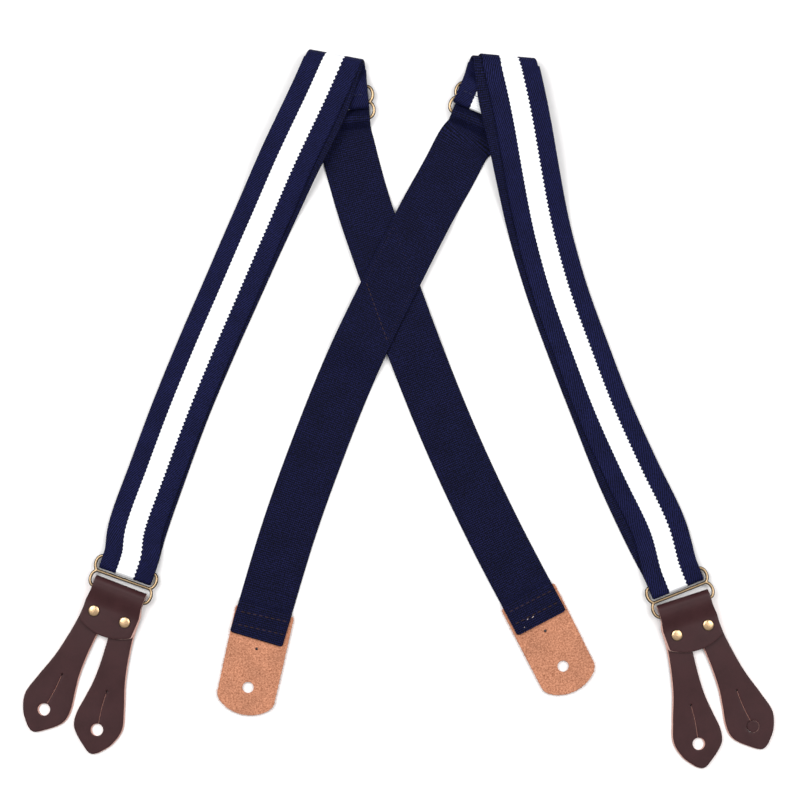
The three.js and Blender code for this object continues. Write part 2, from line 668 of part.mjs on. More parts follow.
function backFittings(name, side) {
  const group = new THREE.Group();
  group.position.set(side.backTab[0], side.backTab[1], 0);
  group.rotation.z = side.backTabTurn;
  root.add(group);
  place(`${name}_back_tab`, backTab(), SUEDE, group);
  STITCH_ROWS.forEach((y, i) => {
    const row = place(`${name}_back_tab_stitching_${i + 1}`, stitchRow(STITCH_LENGTH), BROWN_THREAD, group);
    row.position.set(0, y, ON_BACK_TAB + WEB / 2 + THREAD_ROOM + THREAD.height / 2);
  });
}

for (const [name, side] of Object.entries(SIDES)) {
  webbing(name, side);
  frontFittings(name, side);
  backFittings(name, side);
}

export default root;
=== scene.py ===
import math

import bmesh
import bpy
import numpy as np
from bpy.props import FloatProperty, FloatVectorProperty, PointerProperty
from mathutils.geometry import delaunay_2d_cdt
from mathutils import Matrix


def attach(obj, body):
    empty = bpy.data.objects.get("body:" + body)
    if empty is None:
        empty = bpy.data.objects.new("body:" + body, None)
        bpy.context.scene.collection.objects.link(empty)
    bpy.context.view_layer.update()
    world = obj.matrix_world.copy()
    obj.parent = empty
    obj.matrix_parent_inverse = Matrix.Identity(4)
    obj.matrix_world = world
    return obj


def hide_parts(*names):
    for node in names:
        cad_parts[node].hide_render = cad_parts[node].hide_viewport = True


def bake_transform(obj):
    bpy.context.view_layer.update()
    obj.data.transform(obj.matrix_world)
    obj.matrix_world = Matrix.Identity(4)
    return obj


bl_info = {
    "name": "Suspenders",
    "version": (1, 0, 0),
    "blender": (4, 5, 0),
    "location": "3D View > Sidebar > Suspenders",
    "description": "Webbing, leather, brass and thread of a pair of button-on suspenders",
    "category": "Object",
}

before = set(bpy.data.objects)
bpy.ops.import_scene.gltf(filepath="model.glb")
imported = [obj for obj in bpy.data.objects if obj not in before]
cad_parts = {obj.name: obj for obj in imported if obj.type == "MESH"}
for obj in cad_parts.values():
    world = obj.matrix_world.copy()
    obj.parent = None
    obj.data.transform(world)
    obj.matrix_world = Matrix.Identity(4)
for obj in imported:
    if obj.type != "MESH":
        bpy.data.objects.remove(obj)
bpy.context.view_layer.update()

# Lengths in this file are millimetres, and become metres when a mesh is made.
MM = 0.001

# ------------------------------------------------------------------ dimensions shared with the solids
# Webbing: half its width, its thickness, the height of its middle on the table and on a first layer,
# and the run over which its rows turn to the axis of a fold or a ring.
HALF_WEB = 17.5
WEB = 1.3
ON_TABLE = WEB / 2
SECOND_LAYER = 2.2
TURN_OVER = 9.0
# Even rows stop at least this far short of a stretch's end, or of the rows shaped round a slide.
ROW_GAP = 0.3

# Shoulder folds. The front comes down from them over FRONT_DESCENT.
FOLD_HEIGHT = 5.7
FOLD_RADIUS = 5.05
INNER_FOLD_RADIUS = 3.5
FRONT_DESCENT = (55, 115)

# Rings and slides: wire radius, distance between bars, half of a bar's straight part, and how far the
# round ends reach past it.
WIRE = 1.05
LOOP_PITCH = 10.0
BAR_HALF = 17.0
RING_END, SLIDE_END = 3.35, 3.5
SLIDE_HEIGHT = 4.15
RING_HEIGHT = 2.8
RING_TILT = math.radians(-5.6)
BAR_HEIGHT = RING_HEIGHT - 2 * LOOP_PITCH * math.sin(RING_TILT)
BAR_Y = -2 * LOOP_PITCH * math.cos(RING_TILT)

# The strap's turn round the ring hangs past the bar, and rises to it over RING_RISE.
BIGHT_RADIUS = 2.05
BIGHT_REACH = 5.4
RING_RISE = (30, 2)

# The strap round the slide, as distances from the slide's middle along the strap.
WEAVE_ABOVE, WEAVE_BELOW, RUN_BELOW = 16.0, 22.0, 56.0
MIDDLE_TURN_REACH, MIDDLE_TURN_HALF = 2.4, 1.95

# Front tabs. A hole is its place and radius.
LEATHER = 2.2
RIVET_FOOT = 0.9
BAR_ROOM = 0.5
TAB_FOLD = 6.8
BAND_HALF = 18.2
FOLD_HALF = 17.25
EAR_HOLE = (18.2, -86.2, 3.95)
RELIEF_HOLE = (15.4, -61.0, 0.6)
RIVET = (10.5, -15.2)
RIVET_CAP = 3.6
DISC_GAP = 0.14
SLIT_HALF, SLIT_BOW = 0.08, 0.5
FLAP_LIFT = 0.25
FLAT_TURN = TAB_FOLD - (WIRE + BAR_ROOM + LEATHER)
MIDDLE_RADIUS = WIRE + BAR_ROOM + LEATHER / 2
ROUND_BAR = math.pi * MIDDLE_RADIUS
FLAP_START = 2 * FLAT_TURN + ROUND_BAR

# Back tabs.
BACK_HALF, BACK_TOP, BACK_TIP, BACK_HOLE, BACK_RELIEF = 19.1, 19.0, -49.0, -31.3, -5.9
BACK_HOLE_RADIUS = 3.6
BACK_THICK = 2.2
ON_BACK_TAB = 3.1
STITCH_ROWS = (7.0, 15.5)
FLEX_FROM, FLEX_TO = 24.0, 32.0

# Crossing at the back.
PATCH = 1.5
CROSS_LOW, CROSS_HIGH = 2.4, 3.95
CROSS_FLAT, CROSS_FOOT = 43.0, 68.0
CROSS_HALF_ANGLE = math.radians(22.95)
CROSS_TURN = math.radians(-3.2)

# Weave: the stripe's edges and the teeth along them, the slanting and the lengthwise lines.
STRIPE_LEFT, STRIPE_RIGHT = -5.85, 5.45
TOOTH_LEFT, TOOTH_RIGHT = -0.4, 1.05
STRIPE_SHARPNESS = 7.0
TWILL_PITCH, WALE_PITCH = 1.2, 1.25
SELVEDGE = 0.8
PLY_PITCH = 0.7

# Each route runs from the shoulder fold outwards, in x and y. Turns and headings are in degrees.
SIDES = {
    "left": {
        "fold_axis": (0.982, -0.187), "fold_centre": (-35.3, 140.9), "slide": (-31.35, 114.7),
        "slide_heading": 5.2, "main_shift": 2.05, "return_shift": (1.9, -0.3), "slide_return_shift": 0.0,
        "back": [(-27.3, 87), (-23.8, 73.2), (-16.4, 47.5), (0, 0), (20.5, -55.2), (41.7, -106.6),
                 (65.8, -157.9), (96.9, -217.4)],
        "cross_height": CROSS_LOW,
        "front": [(-46.8, 120), (-56.3, 100), (-69, 73.2), (-86.3, 34.7), (-103, -3.9), (-119.7, -42.4),
                  (-135.5, -80.9), (-149.9, -119.4), (-163.6, -157.9), (-165.5, -173)],
        "returning": [(-41.9, 120), (-50.9, 100), (-63.9, 74.5), (-82.3, 36), (-99.8, -2.6),
                      (-117.2, -41.6), (-133.4, -80.2), (-147.5, -118.6), (-161, -157.4), (-165.2, -172.8)],
        "ring": (-167.6, -180), "ring_turn": -19.6, "tab_skew": -1.4, "tab_shift": 0.0, "lean": 0.9,
        # The stripe shift on this side puts navy instead of white into the shadow at the sewn loop's lower
        # turn: painted shade.
        "back_tab": (96.5, -217.2), "back_tab_turn": 26.9, "plugged": False, "stripe_shift": 1.7,
    },
    "right": {
        "fold_axis": (0.9965, -0.0837), "fold_centre": (74.1, 139.9), "slide": (59.2, 112.6),
        "slide_heading": -23.0, "main_shift": -2.58, "return_shift": (-6.6, -3.0), "slide_return_shift": -1.6,
        "back": [(47.2, 90), (38.3, 73.2), (24.1, 47.5), (0, 0), (-26.3, -55.2), (-46.9, -106.6),
                 (-65.2, -157.9), (-86.1, -227.7)],
        "cross_height": CROSS_HIGH,
        "front": [(81.2, 120), (85.2, 100), (89.9, 73.2), (97.9, 34.7), (108.5, -3.9), (122.3, -42.4),
                  (137.1, -80.9), (154.4, -119.4), (172.6, -157.9), (178.8, -181.4)],
        "returning": [(73.3, 120), (78.2, 99), (83.9, 72.2), (93.1, 33.8), (104.9, -5.1), (119, -43.9),
                      (133.9, -82.4), (149.5, -121.6), (167.6, -160.6), (178.2, -181.1)],
        "ring": (181.5, -188.5), "ring_turn": 21.7, "tab_skew": -3.8, "tab_shift": -0.4, "lean": -0.9,
        "back_tab": (-84.5, -228.2), "back_tab_turn": -12.6, "plugged": True, "stripe_shift": 0.0,
    },
}

# Heights of the webbing's middle at distances from the slide's middle: half of the weave through it, the
# sewn loop over it, and the loop's end under it.
WEAVE_HALF = [(0, 0.65), (2.2, 0.68), (4.7, 1.9), (6.6, 4.1), (8.3, 5.7), (10.2, 6.15), (12.2, 5.4),
              (14.4, 3), (16.5, 1.15), (19, 0.66), (22, 0.65)]
SEWN_LOOP = [(-22, 2.2), (-19.5, 2.5), (-16.5, 4.7), (-13.5, 6.95), (-10, 7.7), (-6, 7.25), (-2, 6.35),
             (1.2, 6.1)]
SEWN_FLAP = [(1.2, 2.2), (-0.8, 2.25), (-2.6, 3.0), (-4.2, 4.25), (-5.3, 5.35)]

# Outline of a front tab's right ear: up its inner side, round its tip, and up its outer side.
EAR_INNER = [(3.4, -25), (4.2, -33), (5, -46), (4.9, -58), (3.6, -69), (2.1, -80), (3, -88), (7, -93.5),
             (14.5, -99.4)]
EAR_TIP = [(17.6, -101.4), (20, -102), (22.2, -101.2)]
EAR_OUTER = [(25.3, -98.6), (30.6, -91.2), (33.2, -80.5), (29.8, -68), (24.2, -51.5), (20.8, -36.5),
             (18.6, -22), (18.2, -10)]


# ------------------------------------------------------------------ what a user would change
def colour_of(name, description, default):
    """A colour property, in sRGB."""
    return FloatVectorProperty(name=name, description=description + ", sRGB", default=default, size=3,
                               subtype="COLOR_GAMMA", min=0, max=1)


def length_of(name, description, default, low, high):
    """A length property, in metres."""
    return FloatProperty(name=name, description=description, default=default, min=low, max=high,
                         subtype="DISTANCE", unit="LENGTH")


class SuspenderWebbing(bpy.types.PropertyGroup):
    """Yarn colours and weave of the elastic webbing"""
    # The low and high navy are painted shade in the weave's hollows and painted light on its crowns, over one
    # navy yarn.
    navy_dark: colour_of("Navy, low", "Navy yarn in the weave's hollows", (0.010, 0.012, 0.038))
    navy_light: colour_of("Navy, high", "Navy yarn on the weave's crowns", (0.106, 0.118, 0.292))
    white: colour_of("Stripe", "White yarn of the stripe", (0.955, 0.960, 0.970))
    pick: length_of("Pick repeat", "Repeat of the weave along the strap", 2.69 * MM, 0.0005, 0.01)
    step: length_of("Mesh step", "Length of one row of the strap's mesh", 0.6725 * MM, 0.0003, 0.005)


class SuspenderLeather(bpy.types.PropertyGroup):
    """Leather colours and the softening of its cut edges"""
    grain: colour_of("Grain", "Dark brown grain side", (0.216, 0.112, 0.120))
    raw: colour_of("Raw edge", "Undyed fibre of a cut edge", (0.86, 0.68, 0.63))
    suede: colour_of("Suede", "Tan flesh side of the back tabs", (0.738, 0.492, 0.368))
    edge_radius: length_of("Edge radius", "Rounding of the cut edges", 0.35 * MM, 0.0001, 0.001)


class SuspenderMetal(bpy.types.PropertyGroup):
    """Brass colours and the fineness of the cast fittings"""
    # Brass goes on the crowns and the dark colour on the flanks, by the normal: the dark flanks are partly
    # antiquing and partly painted shade.
    brass: colour_of("Brass", "Worn, bright part of the antique brass", (0.63, 0.54, 0.425))
    patina_and_shade: colour_of("Patina", "Dark part of the antique brass", (0.12, 0.10, 0.08))
    rivet: colour_of("Rivet", "Pale plated brass of the rivets", (0.82, 0.69, 0.535))
    voxel: length_of("Casting detail", "Cell of the remesh that runs the bars together", 0.2 * MM,
                     0.0001, 0.001)


class SuspenderStage(bpy.types.PropertyGroup):
    """Floor, light and camera"""
    floor: colour_of("Floor", "Pale floor", (0.97, 0.965, 0.965))
    key_power: FloatProperty(name="Key light", description="Power of the soft light overhead",
                             default=17.5, min=0, max=500, unit="POWER")
    world: FloatProperty(name="Room light", description="Strength of the white surroundings",
                         default=0.62, min=0, max=4)
    height: length_of("Camera height", "Camera above the table", 1.5, 0.1, 5)
    lens: FloatProperty(name="Lens", description="Focal length on a 36 mm sensor", default=105.2, min=10,
                        max=200, subtype="DISTANCE_CAMERA")


# ------------------------------------------------------------------ colour and nodes
def linear(srgb):
    """Linear colour with alpha 1 from an sRGB one, or from a hex string such as "d9b978"."""
    if isinstance(srgb, str):
        srgb = [int(srgb[i:i + 2], 16) / 255 for i in (0, 2, 4)]
    c = np.array(srgb[:3], float)
    c = np.where(c <= 0.04045, c / 12.92, ((c + 0.055) / 1.055) ** 2.4)
    return (*c.tolist(), 1.0)


def shades(srgb, *shares):
    """Linear colours: the given one times each share, which is a number or one number a channel."""
    base = np.array(linear(srgb)[:3])
    return [(*(base * share).tolist(), 1.0) for share in shares]


def add(tree, kind, settings=None, links=None):
    """Adds a node. Settings are its properties, or else its inputs by name or number; links feed inputs
    from a socket, or from a node's first output."""
    node = tree.nodes.new(kind)
    for key, value in (settings or {}).items():
        if isinstance(key, str) and hasattr(node, key):
            setattr(node, key, value)
        else:
            node.inputs[key].default_value = value
    for key, source in (links or {}).items():
        socket = source.outputs[0] if isinstance(source, bpy.types.Node) else source
        tree.links.new(socket, node.inputs[key])
    return node


def new_material(name):
    """An empty node material and its tree."""
    material = bpy.data.materials.new(name)
    material.use_nodes = True
    material.node_tree.nodes.clear()
    return material, material.node_tree


def finish_material(tree, settings, links):
    """Closes a material with its surface shader and the output."""
    shader = add(tree, "ShaderNodeBsdfPrincipled", settings, links)
    add(tree, "ShaderNodeOutputMaterial", None, {"Surface": shader})


def webbing_material(webbing):
    """Woven elastic webbing, jacquard loom, rubber core with polyester yarn. Twill floats on the navy thirds
    give fine slanting lines with a little shine, painted light on their crowns and painted shade in the
    hollows between them. The white third is ribbed across, with painted shade in its rib hollows, and its
    right edge is toothed where the yarns change sides. The inner side is plain navy with cross ribs."""
    material, t = new_material("woven_elastic_webbing")
    half_repeat = webbing.pick / MM / 2
    weave = add(t, "ShaderNodeAttribute", {"attribute_name": "weave"}).outputs["Vector"]
    across, along, face = add(t, "ShaderNodeSeparateXYZ", None, {0: weave}).outputs

    # The stripe lies between two edges that swing in and out with the teeth.
    teeth = add(t, "ShaderNodeMath", {"operation": "PINGPONG", 1: half_repeat}, {0: along})
    masks = []
    for edge, tooth, way in ((STRIPE_RIGHT, TOOTH_RIGHT, (0, 1)), (STRIPE_LEFT, TOOTH_LEFT, (1, 0))):
        border = add(t, "ShaderNodeMath", {"operation": "MULTIPLY_ADD", 1: tooth / half_repeat, 2: edge},
                     {0: teeth})
        within = add(t, "ShaderNodeMath", {"operation": "SUBTRACT"}, {way[0]: border, way[1]: across})
        masks.append(add(t, "ShaderNodeMath", {"operation": "MULTIPLY_ADD", "use_clamp": True,
                                               1: STRIPE_SHARPNESS, 2: 0.5}, {0: within}))
    both = add(t, "ShaderNodeMath", {"operation": "MULTIPLY"}, dict(enumerate(masks)))
    stripe = add(t, "ShaderNodeMath", {"operation": "MULTIPLY"}, {0: both, 1: face})

    def lines(x_share, y_share, pitch):
        """Half plus half the sine of the distance across a set of lines, by their pitch."""
        turn = 2 * math.pi / pitch
        slant = add(t, "ShaderNodeMath", {"operation": "MULTIPLY", 1: turn * x_share}, {0: across})
        phase = add(t, "ShaderNodeMath", {"operation": "MULTIPLY_ADD", 1: turn * y_share},
                    {0: along, 2: slant})
        wave = add(t, "ShaderNodeMath", {"operation": "SINE"}, {0: phase})
        return add(t, "ShaderNodeMath", {"operation": "MULTIPLY_ADD", 1: 0.5, 2: 0.5}, {0: wave})

    # Twill floats lean 30 degrees from the strap and are 1.2 mm apart, coarser than the real 0.5 mm yarn
    # so that they show.
    twill = lines(0.866, 0.5, TWILL_PITCH)
    ribs = lines(0.0, 1.0, half_repeat)
    wales = lines(1.0, 0.0, WALE_PITCH)
    floats = add(t, "ShaderNodeMath", {"operation": "MULTIPLY"}, {0: ribs, 1: wales})
    plain = add(t, "ShaderNodeMath", {"operation": "MULTIPLY_ADD", 1: 0.4}, {0: ribs, 2: floats})
    inner = add(t, "ShaderNodeMath", {"operation": "MULTIPLY", 1: 0.7}, {0: plain})
    side = add(t, "ShaderNodeMix", {"data_type": "FLOAT"}, {0: face, 2: inner, 3: twill})
    yarn = add(t, "ShaderNodeTexNoise", {"Scale": 0.95, "Detail": 3.0, "Roughness": 0.6}, {"Vector": weave})
    uneven = add(t, "ShaderNodeMath", {"operation": "MULTIPLY_ADD", 1: 2.2, 2: -1.13}, {0: yarn.outputs[0]})
    relief = add(t, "ShaderNodeMath", {"operation": "ADD", "use_clamp": True}, {0: side, 1: uneven})
    # Navy from dark to light by the relief: painted shade in the hollows and painted light on the crowns,
    # with the yarn's random unevenness.
    navy = add(t, "ShaderNodeMix", {"data_type": "RGBA", 6: linear(webbing.navy_dark),
                                    7: linear(webbing.navy_light)}, {0: relief})
    cloud = add(t, "ShaderNodeTexNoise", {"Scale": 0.07, "Detail": 2.0}, {"Vector": weave})
    drift = add(t, "ShaderNodeMapRange", {"From Min": 0.3, "From Max": 0.7, "To Min": 0.86, "To Max": 1.14},
                {"Value": cloud.outputs[0]})
    tinted = add(t, "ShaderNodeMix", {"data_type": "RGBA", "blend_type": "MULTIPLY", 0: 1.0},
                 {6: navy.outputs[2], 7: drift})
    shaded, white = shades(webbing.white, 0.86, 1.0)
    rib_white = add(t, "ShaderNodeMix", {"data_type": "RGBA", 6: shaded, 7: white}, {0: ribs})
    colour = add(t, "ShaderNodeMix", {"data_type": "RGBA"},
                 {0: stripe, 6: tinted.outputs[2], 7: rib_white.outputs[2]})
    height = add(t, "ShaderNodeMix", {"data_type": "FLOAT"}, {0: stripe, 2: relief, 3: ribs})
    bump = add(t, "ShaderNodeBump", {"Strength": 0.8, "Distance": 0.18 * MM}, {"Height": height})
    finish_material(t, {"Roughness": 0.7, "Specular IOR Level": 0.07, "Sheen Weight": 0.015,
                        "Sheen Roughness": 0.4, "IOR": 1.5},
                    {"Base Color": colour.outputs[2], "Normal": bump})
    return material


def grain_material(name, srgb, roughness, specular):
    """Vegetable-tanned leather, dyed and glazed on the grain side. Rolling leaves it smooth with shallow
    cells and pores, a satin shine that comes and goes, and slow drifts of colour."""
    material, t = new_material(name)
    place = add(t, "ShaderNodeTexCoord").outputs["Object"]
    cells = add(t, "ShaderNodeTexVoronoi", {"feature": "DISTANCE_TO_EDGE", "Scale": 1300.0},
                {"Vector": place})
    fine = add(t, "ShaderNodeTexNoise", {"Scale": 2600.0, "Detail": 4.0}, {"Vector": place})
    drift = add(t, "ShaderNodeTexNoise", {"Scale": 90.0, "Detail": 3.0, "Roughness": 0.6}, {"Vector": place})
    dark, light = shades(srgb, 0.9, 1.1)
    mottle = add(t, "ShaderNodeMapRange", {"From Min": 0.32, "From Max": 0.68}, {"Value": drift.outputs[0]})
    colour = add(t, "ShaderNodeMix", {"data_type": "RGBA", 6: dark, 7: light}, {0: mottle})
    speck = add(t, "ShaderNodeMapRange", {"From Min": 0.35, "From Max": 0.65, "To Min": 0.84, "To Max": 1.16},
                {"Value": fine.outputs[0]})
    tone = add(t, "ShaderNodeMix", {"data_type": "RGBA", "blend_type": "MULTIPLY", 0: 1.0},
               {6: colour.outputs[2], 7: speck})
    shallow = add(t, "ShaderNodeMath", {"operation": "MULTIPLY_ADD", 1: 0.35}, {0: fine.outputs[0], 2: cells})
    bump = add(t, "ShaderNodeBump", {"Strength": 0.35, "Distance": 0.07 * MM}, {"Height": shallow})
    gloss = add(t, "ShaderNodeMapRange", {"From Min": 0.3, "From Max": 0.7, "To Min": roughness - 0.07,
                                          "To Max": roughness + 0.08}, {"Value": drift.outputs[0]})
    finish_material(t, {"Specular IOR Level": specular, "IOR": 1.5},
                    {"Base Color": tone.outputs[2], "Roughness": gloss, "Normal": bump})
    return material


def raw_edge_material(leather):
    """Cut edge of vegetable-tanned leather, undyed. The knife leaves pinkish fibre in thin layers that
    run along the edge, matt and a little fuzzy."""
    material, t = new_material("leather_raw_edge")
    place = add(t, "ShaderNodeTexCoord").outputs["Object"]
    layers = add(t, "ShaderNodeMapping", {"Scale": (1.0, 1.0, 5.0)}, {"Vector": place})
    fibre = add(t, "ShaderNodeTexNoise", {"Scale": 1100.0, "Detail": 4.0, "Roughness": 0.65},
                {"Vector": layers})
    dark, light = shades(leather.raw, 0.66, 1.1)
    shade = add(t, "ShaderNodeMapRange", {"From Min": 0.3, "From Max": 0.7}, {"Value": fibre.outputs[0]})
    colour = add(t, "ShaderNodeMix", {"data_type": "RGBA", 6: dark, 7: light}, {0: shade})
    bump = add(t, "ShaderNodeBump", {"Strength": 0.6, "Distance": 0.12 * MM}, {"Height": fibre.outputs[0]})
    finish_material(t, {"Roughness": 0.9, "Specular IOR Level": 0.15, "Sheen Weight": 0.15, "IOR": 1.5},
                    {"Base Color": colour.outputs[2], "Normal": bump})
    return material


def suede_material(leather):
    """Flesh side of vegetable-tanned leather, split and left raw. Loose fibre clumps of about a
    millimetre make light and dark specks on tan, with slow drifts, quite matt with a soft sheen."""
    material, t = new_material("leather_flesh_side")
    place = add(t, "ShaderNodeTexCoord").outputs["Object"]
    warp = add(t, "ShaderNodeTexNoise", {"Scale": 500.0, "Detail": 3.0}, {"Vector": place})
    clumps = add(t, "ShaderNodeTexNoise", {"Scale": 950.0, "Detail": 6.0, "Roughness": 0.75,
                                           "Distortion": 0.6},
                 {"Vector": place})
    drift = add(t, "ShaderNodeTexNoise", {"Scale": 70.0, "Detail": 3.0}, {"Vector": place})
    dark, light = shades(leather.suede, (0.5, 0.42, 0.36), (1.3, 1.42, 1.55))
    speck = add(t, "ShaderNodeMapRange", {"From Min": 0.36, "From Max": 0.62}, {"Value": clumps.outputs[0]})
    colour = add(t, "ShaderNodeMix", {"data_type": "RGBA", 6: dark, 7: light}, {0: speck})
    slow = add(t, "ShaderNodeMapRange", {"From Min": 0.3, "From Max": 0.7, "To Min": 0.88, "To Max": 1.1},
               {"Value": drift.outputs[0]})
    tone = add(t, "ShaderNodeMix", {"data_type": "RGBA", "blend_type": "MULTIPLY", 0: 1.0},
               {6: colour.outputs[2], 7: slow})
    nap = add(t, "ShaderNodeMath", {"operation": "MULTIPLY_ADD", 1: 0.6},
              {0: warp.outputs[0], 2: clumps.outputs[0]})
    bump = add(t, "ShaderNodeBump", {"Strength": 0.8, "Distance": 0.22 * MM}, {"Height": nap})
    finish_material(t, {"Roughness": 0.95, "Specular IOR Level": 0.1, "Sheen Weight": 0.25,
                        "Sheen Roughness": 0.6, "IOR": 1.5}, {"Base Color": tone.outputs[2], "Normal": bump})
    return material


def brass_material(metal):
    """Zinc casting plated in brass, antiqued and tumbled. Black antiquing stays in the corners, the crowns
    are rubbed to satin brass, and the flanks are dark partly from the antiquing and partly as painted shade
    on the sides of the round wire; fine scratches break up the highlights."""
    material, t = new_material("antiqued_brass")
    place = add(t, "ShaderNodeTexCoord").outputs["Object"]
    # Share by the normal: rubbed crowns, and flanks darkened as antiquing and as painted shade.
    wear_and_shade = add(t, "ShaderNodeAttribute", {"attribute_name": "wear_and_shade"}).outputs["Fac"]
    blotch = add(t, "ShaderNodeTexNoise", {"Scale": 420.0, "Detail": 4.0, "Roughness": 0.6},
                 {"Vector": place})
    scratch = add(t, "ShaderNodeTexNoise", {"Scale": 2400.0, "Detail": 2.0, "Distortion": 1.5},
                  {"Vector": place})
    patchy = add(t, "ShaderNodeMath", {"operation": "MULTIPLY_ADD", 1: 0.9, 2: -0.45}, {0: blotch.outputs[0]})
    share = add(t, "ShaderNodeMath", {"operation": "ADD"}, {0: wear_and_shade, 1: patchy})
    bright = add(t, "ShaderNodeMapRange", {"interpolation_type": "SMOOTHSTEP", "From Min": 0.2,
                                           "From Max": 0.85}, {"Value": share})
    colour = add(t, "ShaderNodeMix", {"data_type": "RGBA", 6: linear(metal.patina_and_shade), 7: linear(metal.brass)},
                 {0: bright})
    rough = add(t, "ShaderNodeMapRange", {"To Min": 0.55, "To Max": 0.3}, {"Value": bright})
    bump = add(t, "ShaderNodeBump", {"Strength": 0.25, "Distance": 0.03 * MM}, {"Height": scratch.outputs[0]})
    finish_material(t, {"Metallic": 1.0},
                    {"Base Color": colour.outputs[2], "Roughness": rough, "Normal": bump})
    return material


def rivet_material(metal):
    """Tubular rivet cap, pressed from brass sheet and plated pale gold. Pressing leaves faint dimples and
    handling leaves small dull patches; the darker rim is painted shade round the cap's edge."""
    material, t = new_material("pressed_brass")
    place = add(t, "ShaderNodeTexCoord").outputs["Object"]
    dents = add(t, "ShaderNodeTexNoise", {"Scale": 520.0, "Detail": 2.0}, {"Vector": place})
    dull = add(t, "ShaderNodeTexNoise", {"Scale": 900.0, "Detail": 4.0}, {"Vector": place})
    wear_and_shade = add(t, "ShaderNodeAttribute", {"attribute_name": "wear_and_shade"}).outputs["Fac"]
    spots = add(t, "ShaderNodeMath", {"operation": "MULTIPLY_ADD", 1: 0.5, 2: -0.25}, {0: dull.outputs[0]})
    share = add(t, "ShaderNodeMath", {"operation": "ADD"}, {0: wear_and_shade, 1: spots})
    # Bright crown, darker rim as painted shade, and dull patches that are the cap's own.
    lit_and_clean = add(t, "ShaderNodeMapRange", {"From Min": 0.15, "From Max": 0.6}, {"Value": share})
    rim, crown = shades(metal.rivet, 0.4, 1.0)
    colour = add(t, "ShaderNodeMix", {"data_type": "RGBA", 6: rim, 7: crown}, {0: lit_and_clean})
    rough = add(t, "ShaderNodeMapRange", {"From Min": 0.3, "From Max": 0.7, "To Min": 0.24, "To Max": 0.42},
                {"Value": dull.outputs[0]})
    bump = add(t, "ShaderNodeBump", {"Strength": 0.35, "Distance": 0.12 * MM}, {"Height": dents.outputs[0]})
    finish_material(t, {"Metallic": 1.0},
                    {"Base Color": colour.outputs[2], "Roughness": rough, "Normal": bump})
    return material


def thread_material(name, srgb):
    """Bonded polyester sewing thread, three plies twisted and waxed. The plies show as slanting ridges, about
    0.7 mm apart, with painted shade in the grooves between them and painted light on their crowns."""
    material, t = new_material(name)
    twist = add(t, "ShaderNodeAttribute", {"attribute_name": "twist"}).outputs["Fac"]
    wave = add(t, "ShaderNodeMath", {"operation": "SINE"}, {0: twist})
    ply = add(t, "ShaderNodeMath", {"operation": "MULTIPLY_ADD", 1: 0.5, 2: 0.5}, {0: wave})
    # Painted shade in the grooves between the plies, painted light on their crowns.
    dark, light = shades(srgb, 0.45, 1.25)
    colour = add(t, "ShaderNodeMix", {"data_type": "RGBA", 6: dark, 7: light}, {0: ply})
    bump = add(t, "ShaderNodeBump", {"Strength": 0.6, "Distance": 0.08 * MM}, {"Height": ply})
    finish_material(t, {"Roughness": 0.55, "Specular IOR Level": 0.25, "Sheen Weight": 0.1, "IOR": 1.5},
                    {"Base Color": colour.outputs[2], "Normal": bump})
    return material


def floor_material(stage):
    """Matt card, pressed and coated: plain pale, with the faintest cloud in it."""
    material, t = new_material("matt_card")
    place = add(t, "ShaderNodeTexCoord").outputs["Object"]
    cloud = add(t, "ShaderNodeTexNoise", {"Scale": 3.0, "Detail": 2.0}, {"Vector": place})
    dim, pale = shades(stage.floor, 0.985, 1.0)
    colour = add(t, "ShaderNodeMix", {"data_type": "RGBA", 6: dim, 7: pale}, {0: cloud.outputs[0]})
    finish_material(t, {"Roughness": 0.9, "Specular IOR Level": 0.1, "IOR": 1.5},
                    {"Base Color": colour.outputs[2]})
    return material


# ------------------------------------------------------------------ curves and rows, as whole arrays
def unit(v):
    """Vectors divided by their lengths."""
    return v / np.linalg.norm(v, axis=-1, keepdims=True)


def smooth(low, high, x):
    """0 below low, 1 above high, and three t squared minus two t cubed between them."""
    t = np.clip((np.asarray(x, float) - low) / (high - low), 0, 1)
    return t * t * (3 - 2 * t)


def turned(points, degrees, offset=(0, 0)):
    """Points turned about Z through the origin, then moved in x and y."""
    p = np.array(points, float)
    a = math.radians(degrees)
    x = math.cos(a) * p[..., 0] - math.sin(a) * p[..., 1] + offset[0]
    y = math.sin(a) * p[..., 0] + math.cos(a) * p[..., 1] + offset[1]
    return np.stack([x, y, *np.moveaxis(p[..., 2:], -1, 0)], -1)


def cubic_spans(p, starts, ends, per_span):
    """Cubic spans between neighbouring points p with the given tangents at each span's ends."""
    t = np.linspace(0, 1, per_span, endpoint=False)[None, :, None]
    b, c, m, n = p[:-1, None], p[1:, None], starts[:, None], ends[:, None]
    spans = b + m * t + (3 * c - 3 * b - 2 * m - n) * t**2 + (2 * b - 2 * c + m + n) * t**3
    return np.vstack([spans.reshape(-1, p.shape[1]), p[-1:]])


def centripetal(points, per_span=160):
    """Curve through the points whose tangents weigh each neighbour by the square root of its chord; a
    mirrored neighbour stands beyond each end."""
    p = np.array(points, float)
    q = np.vstack([2 * p[0] - p[1], p, 2 * p[-1] - p[-2]])
    d = np.linalg.norm(np.diff(q, axis=0), axis=1, keepdims=True) ** 0.5
    d0, d1, d2 = d[:-2], d[1:-1], d[2:]
    a, b, c, e = q[:-3], q[1:-2], q[2:-1], q[3:]
    starts = ((b - a) / d0 - (c - a) / (d0 + d1) + (c - b) / d1) * d1
    ends = ((c - b) / d1 - (e - b) / (d1 + d2) + (e - c) / d2) * d1
    return cubic_spans(p, starts, ends, per_span)


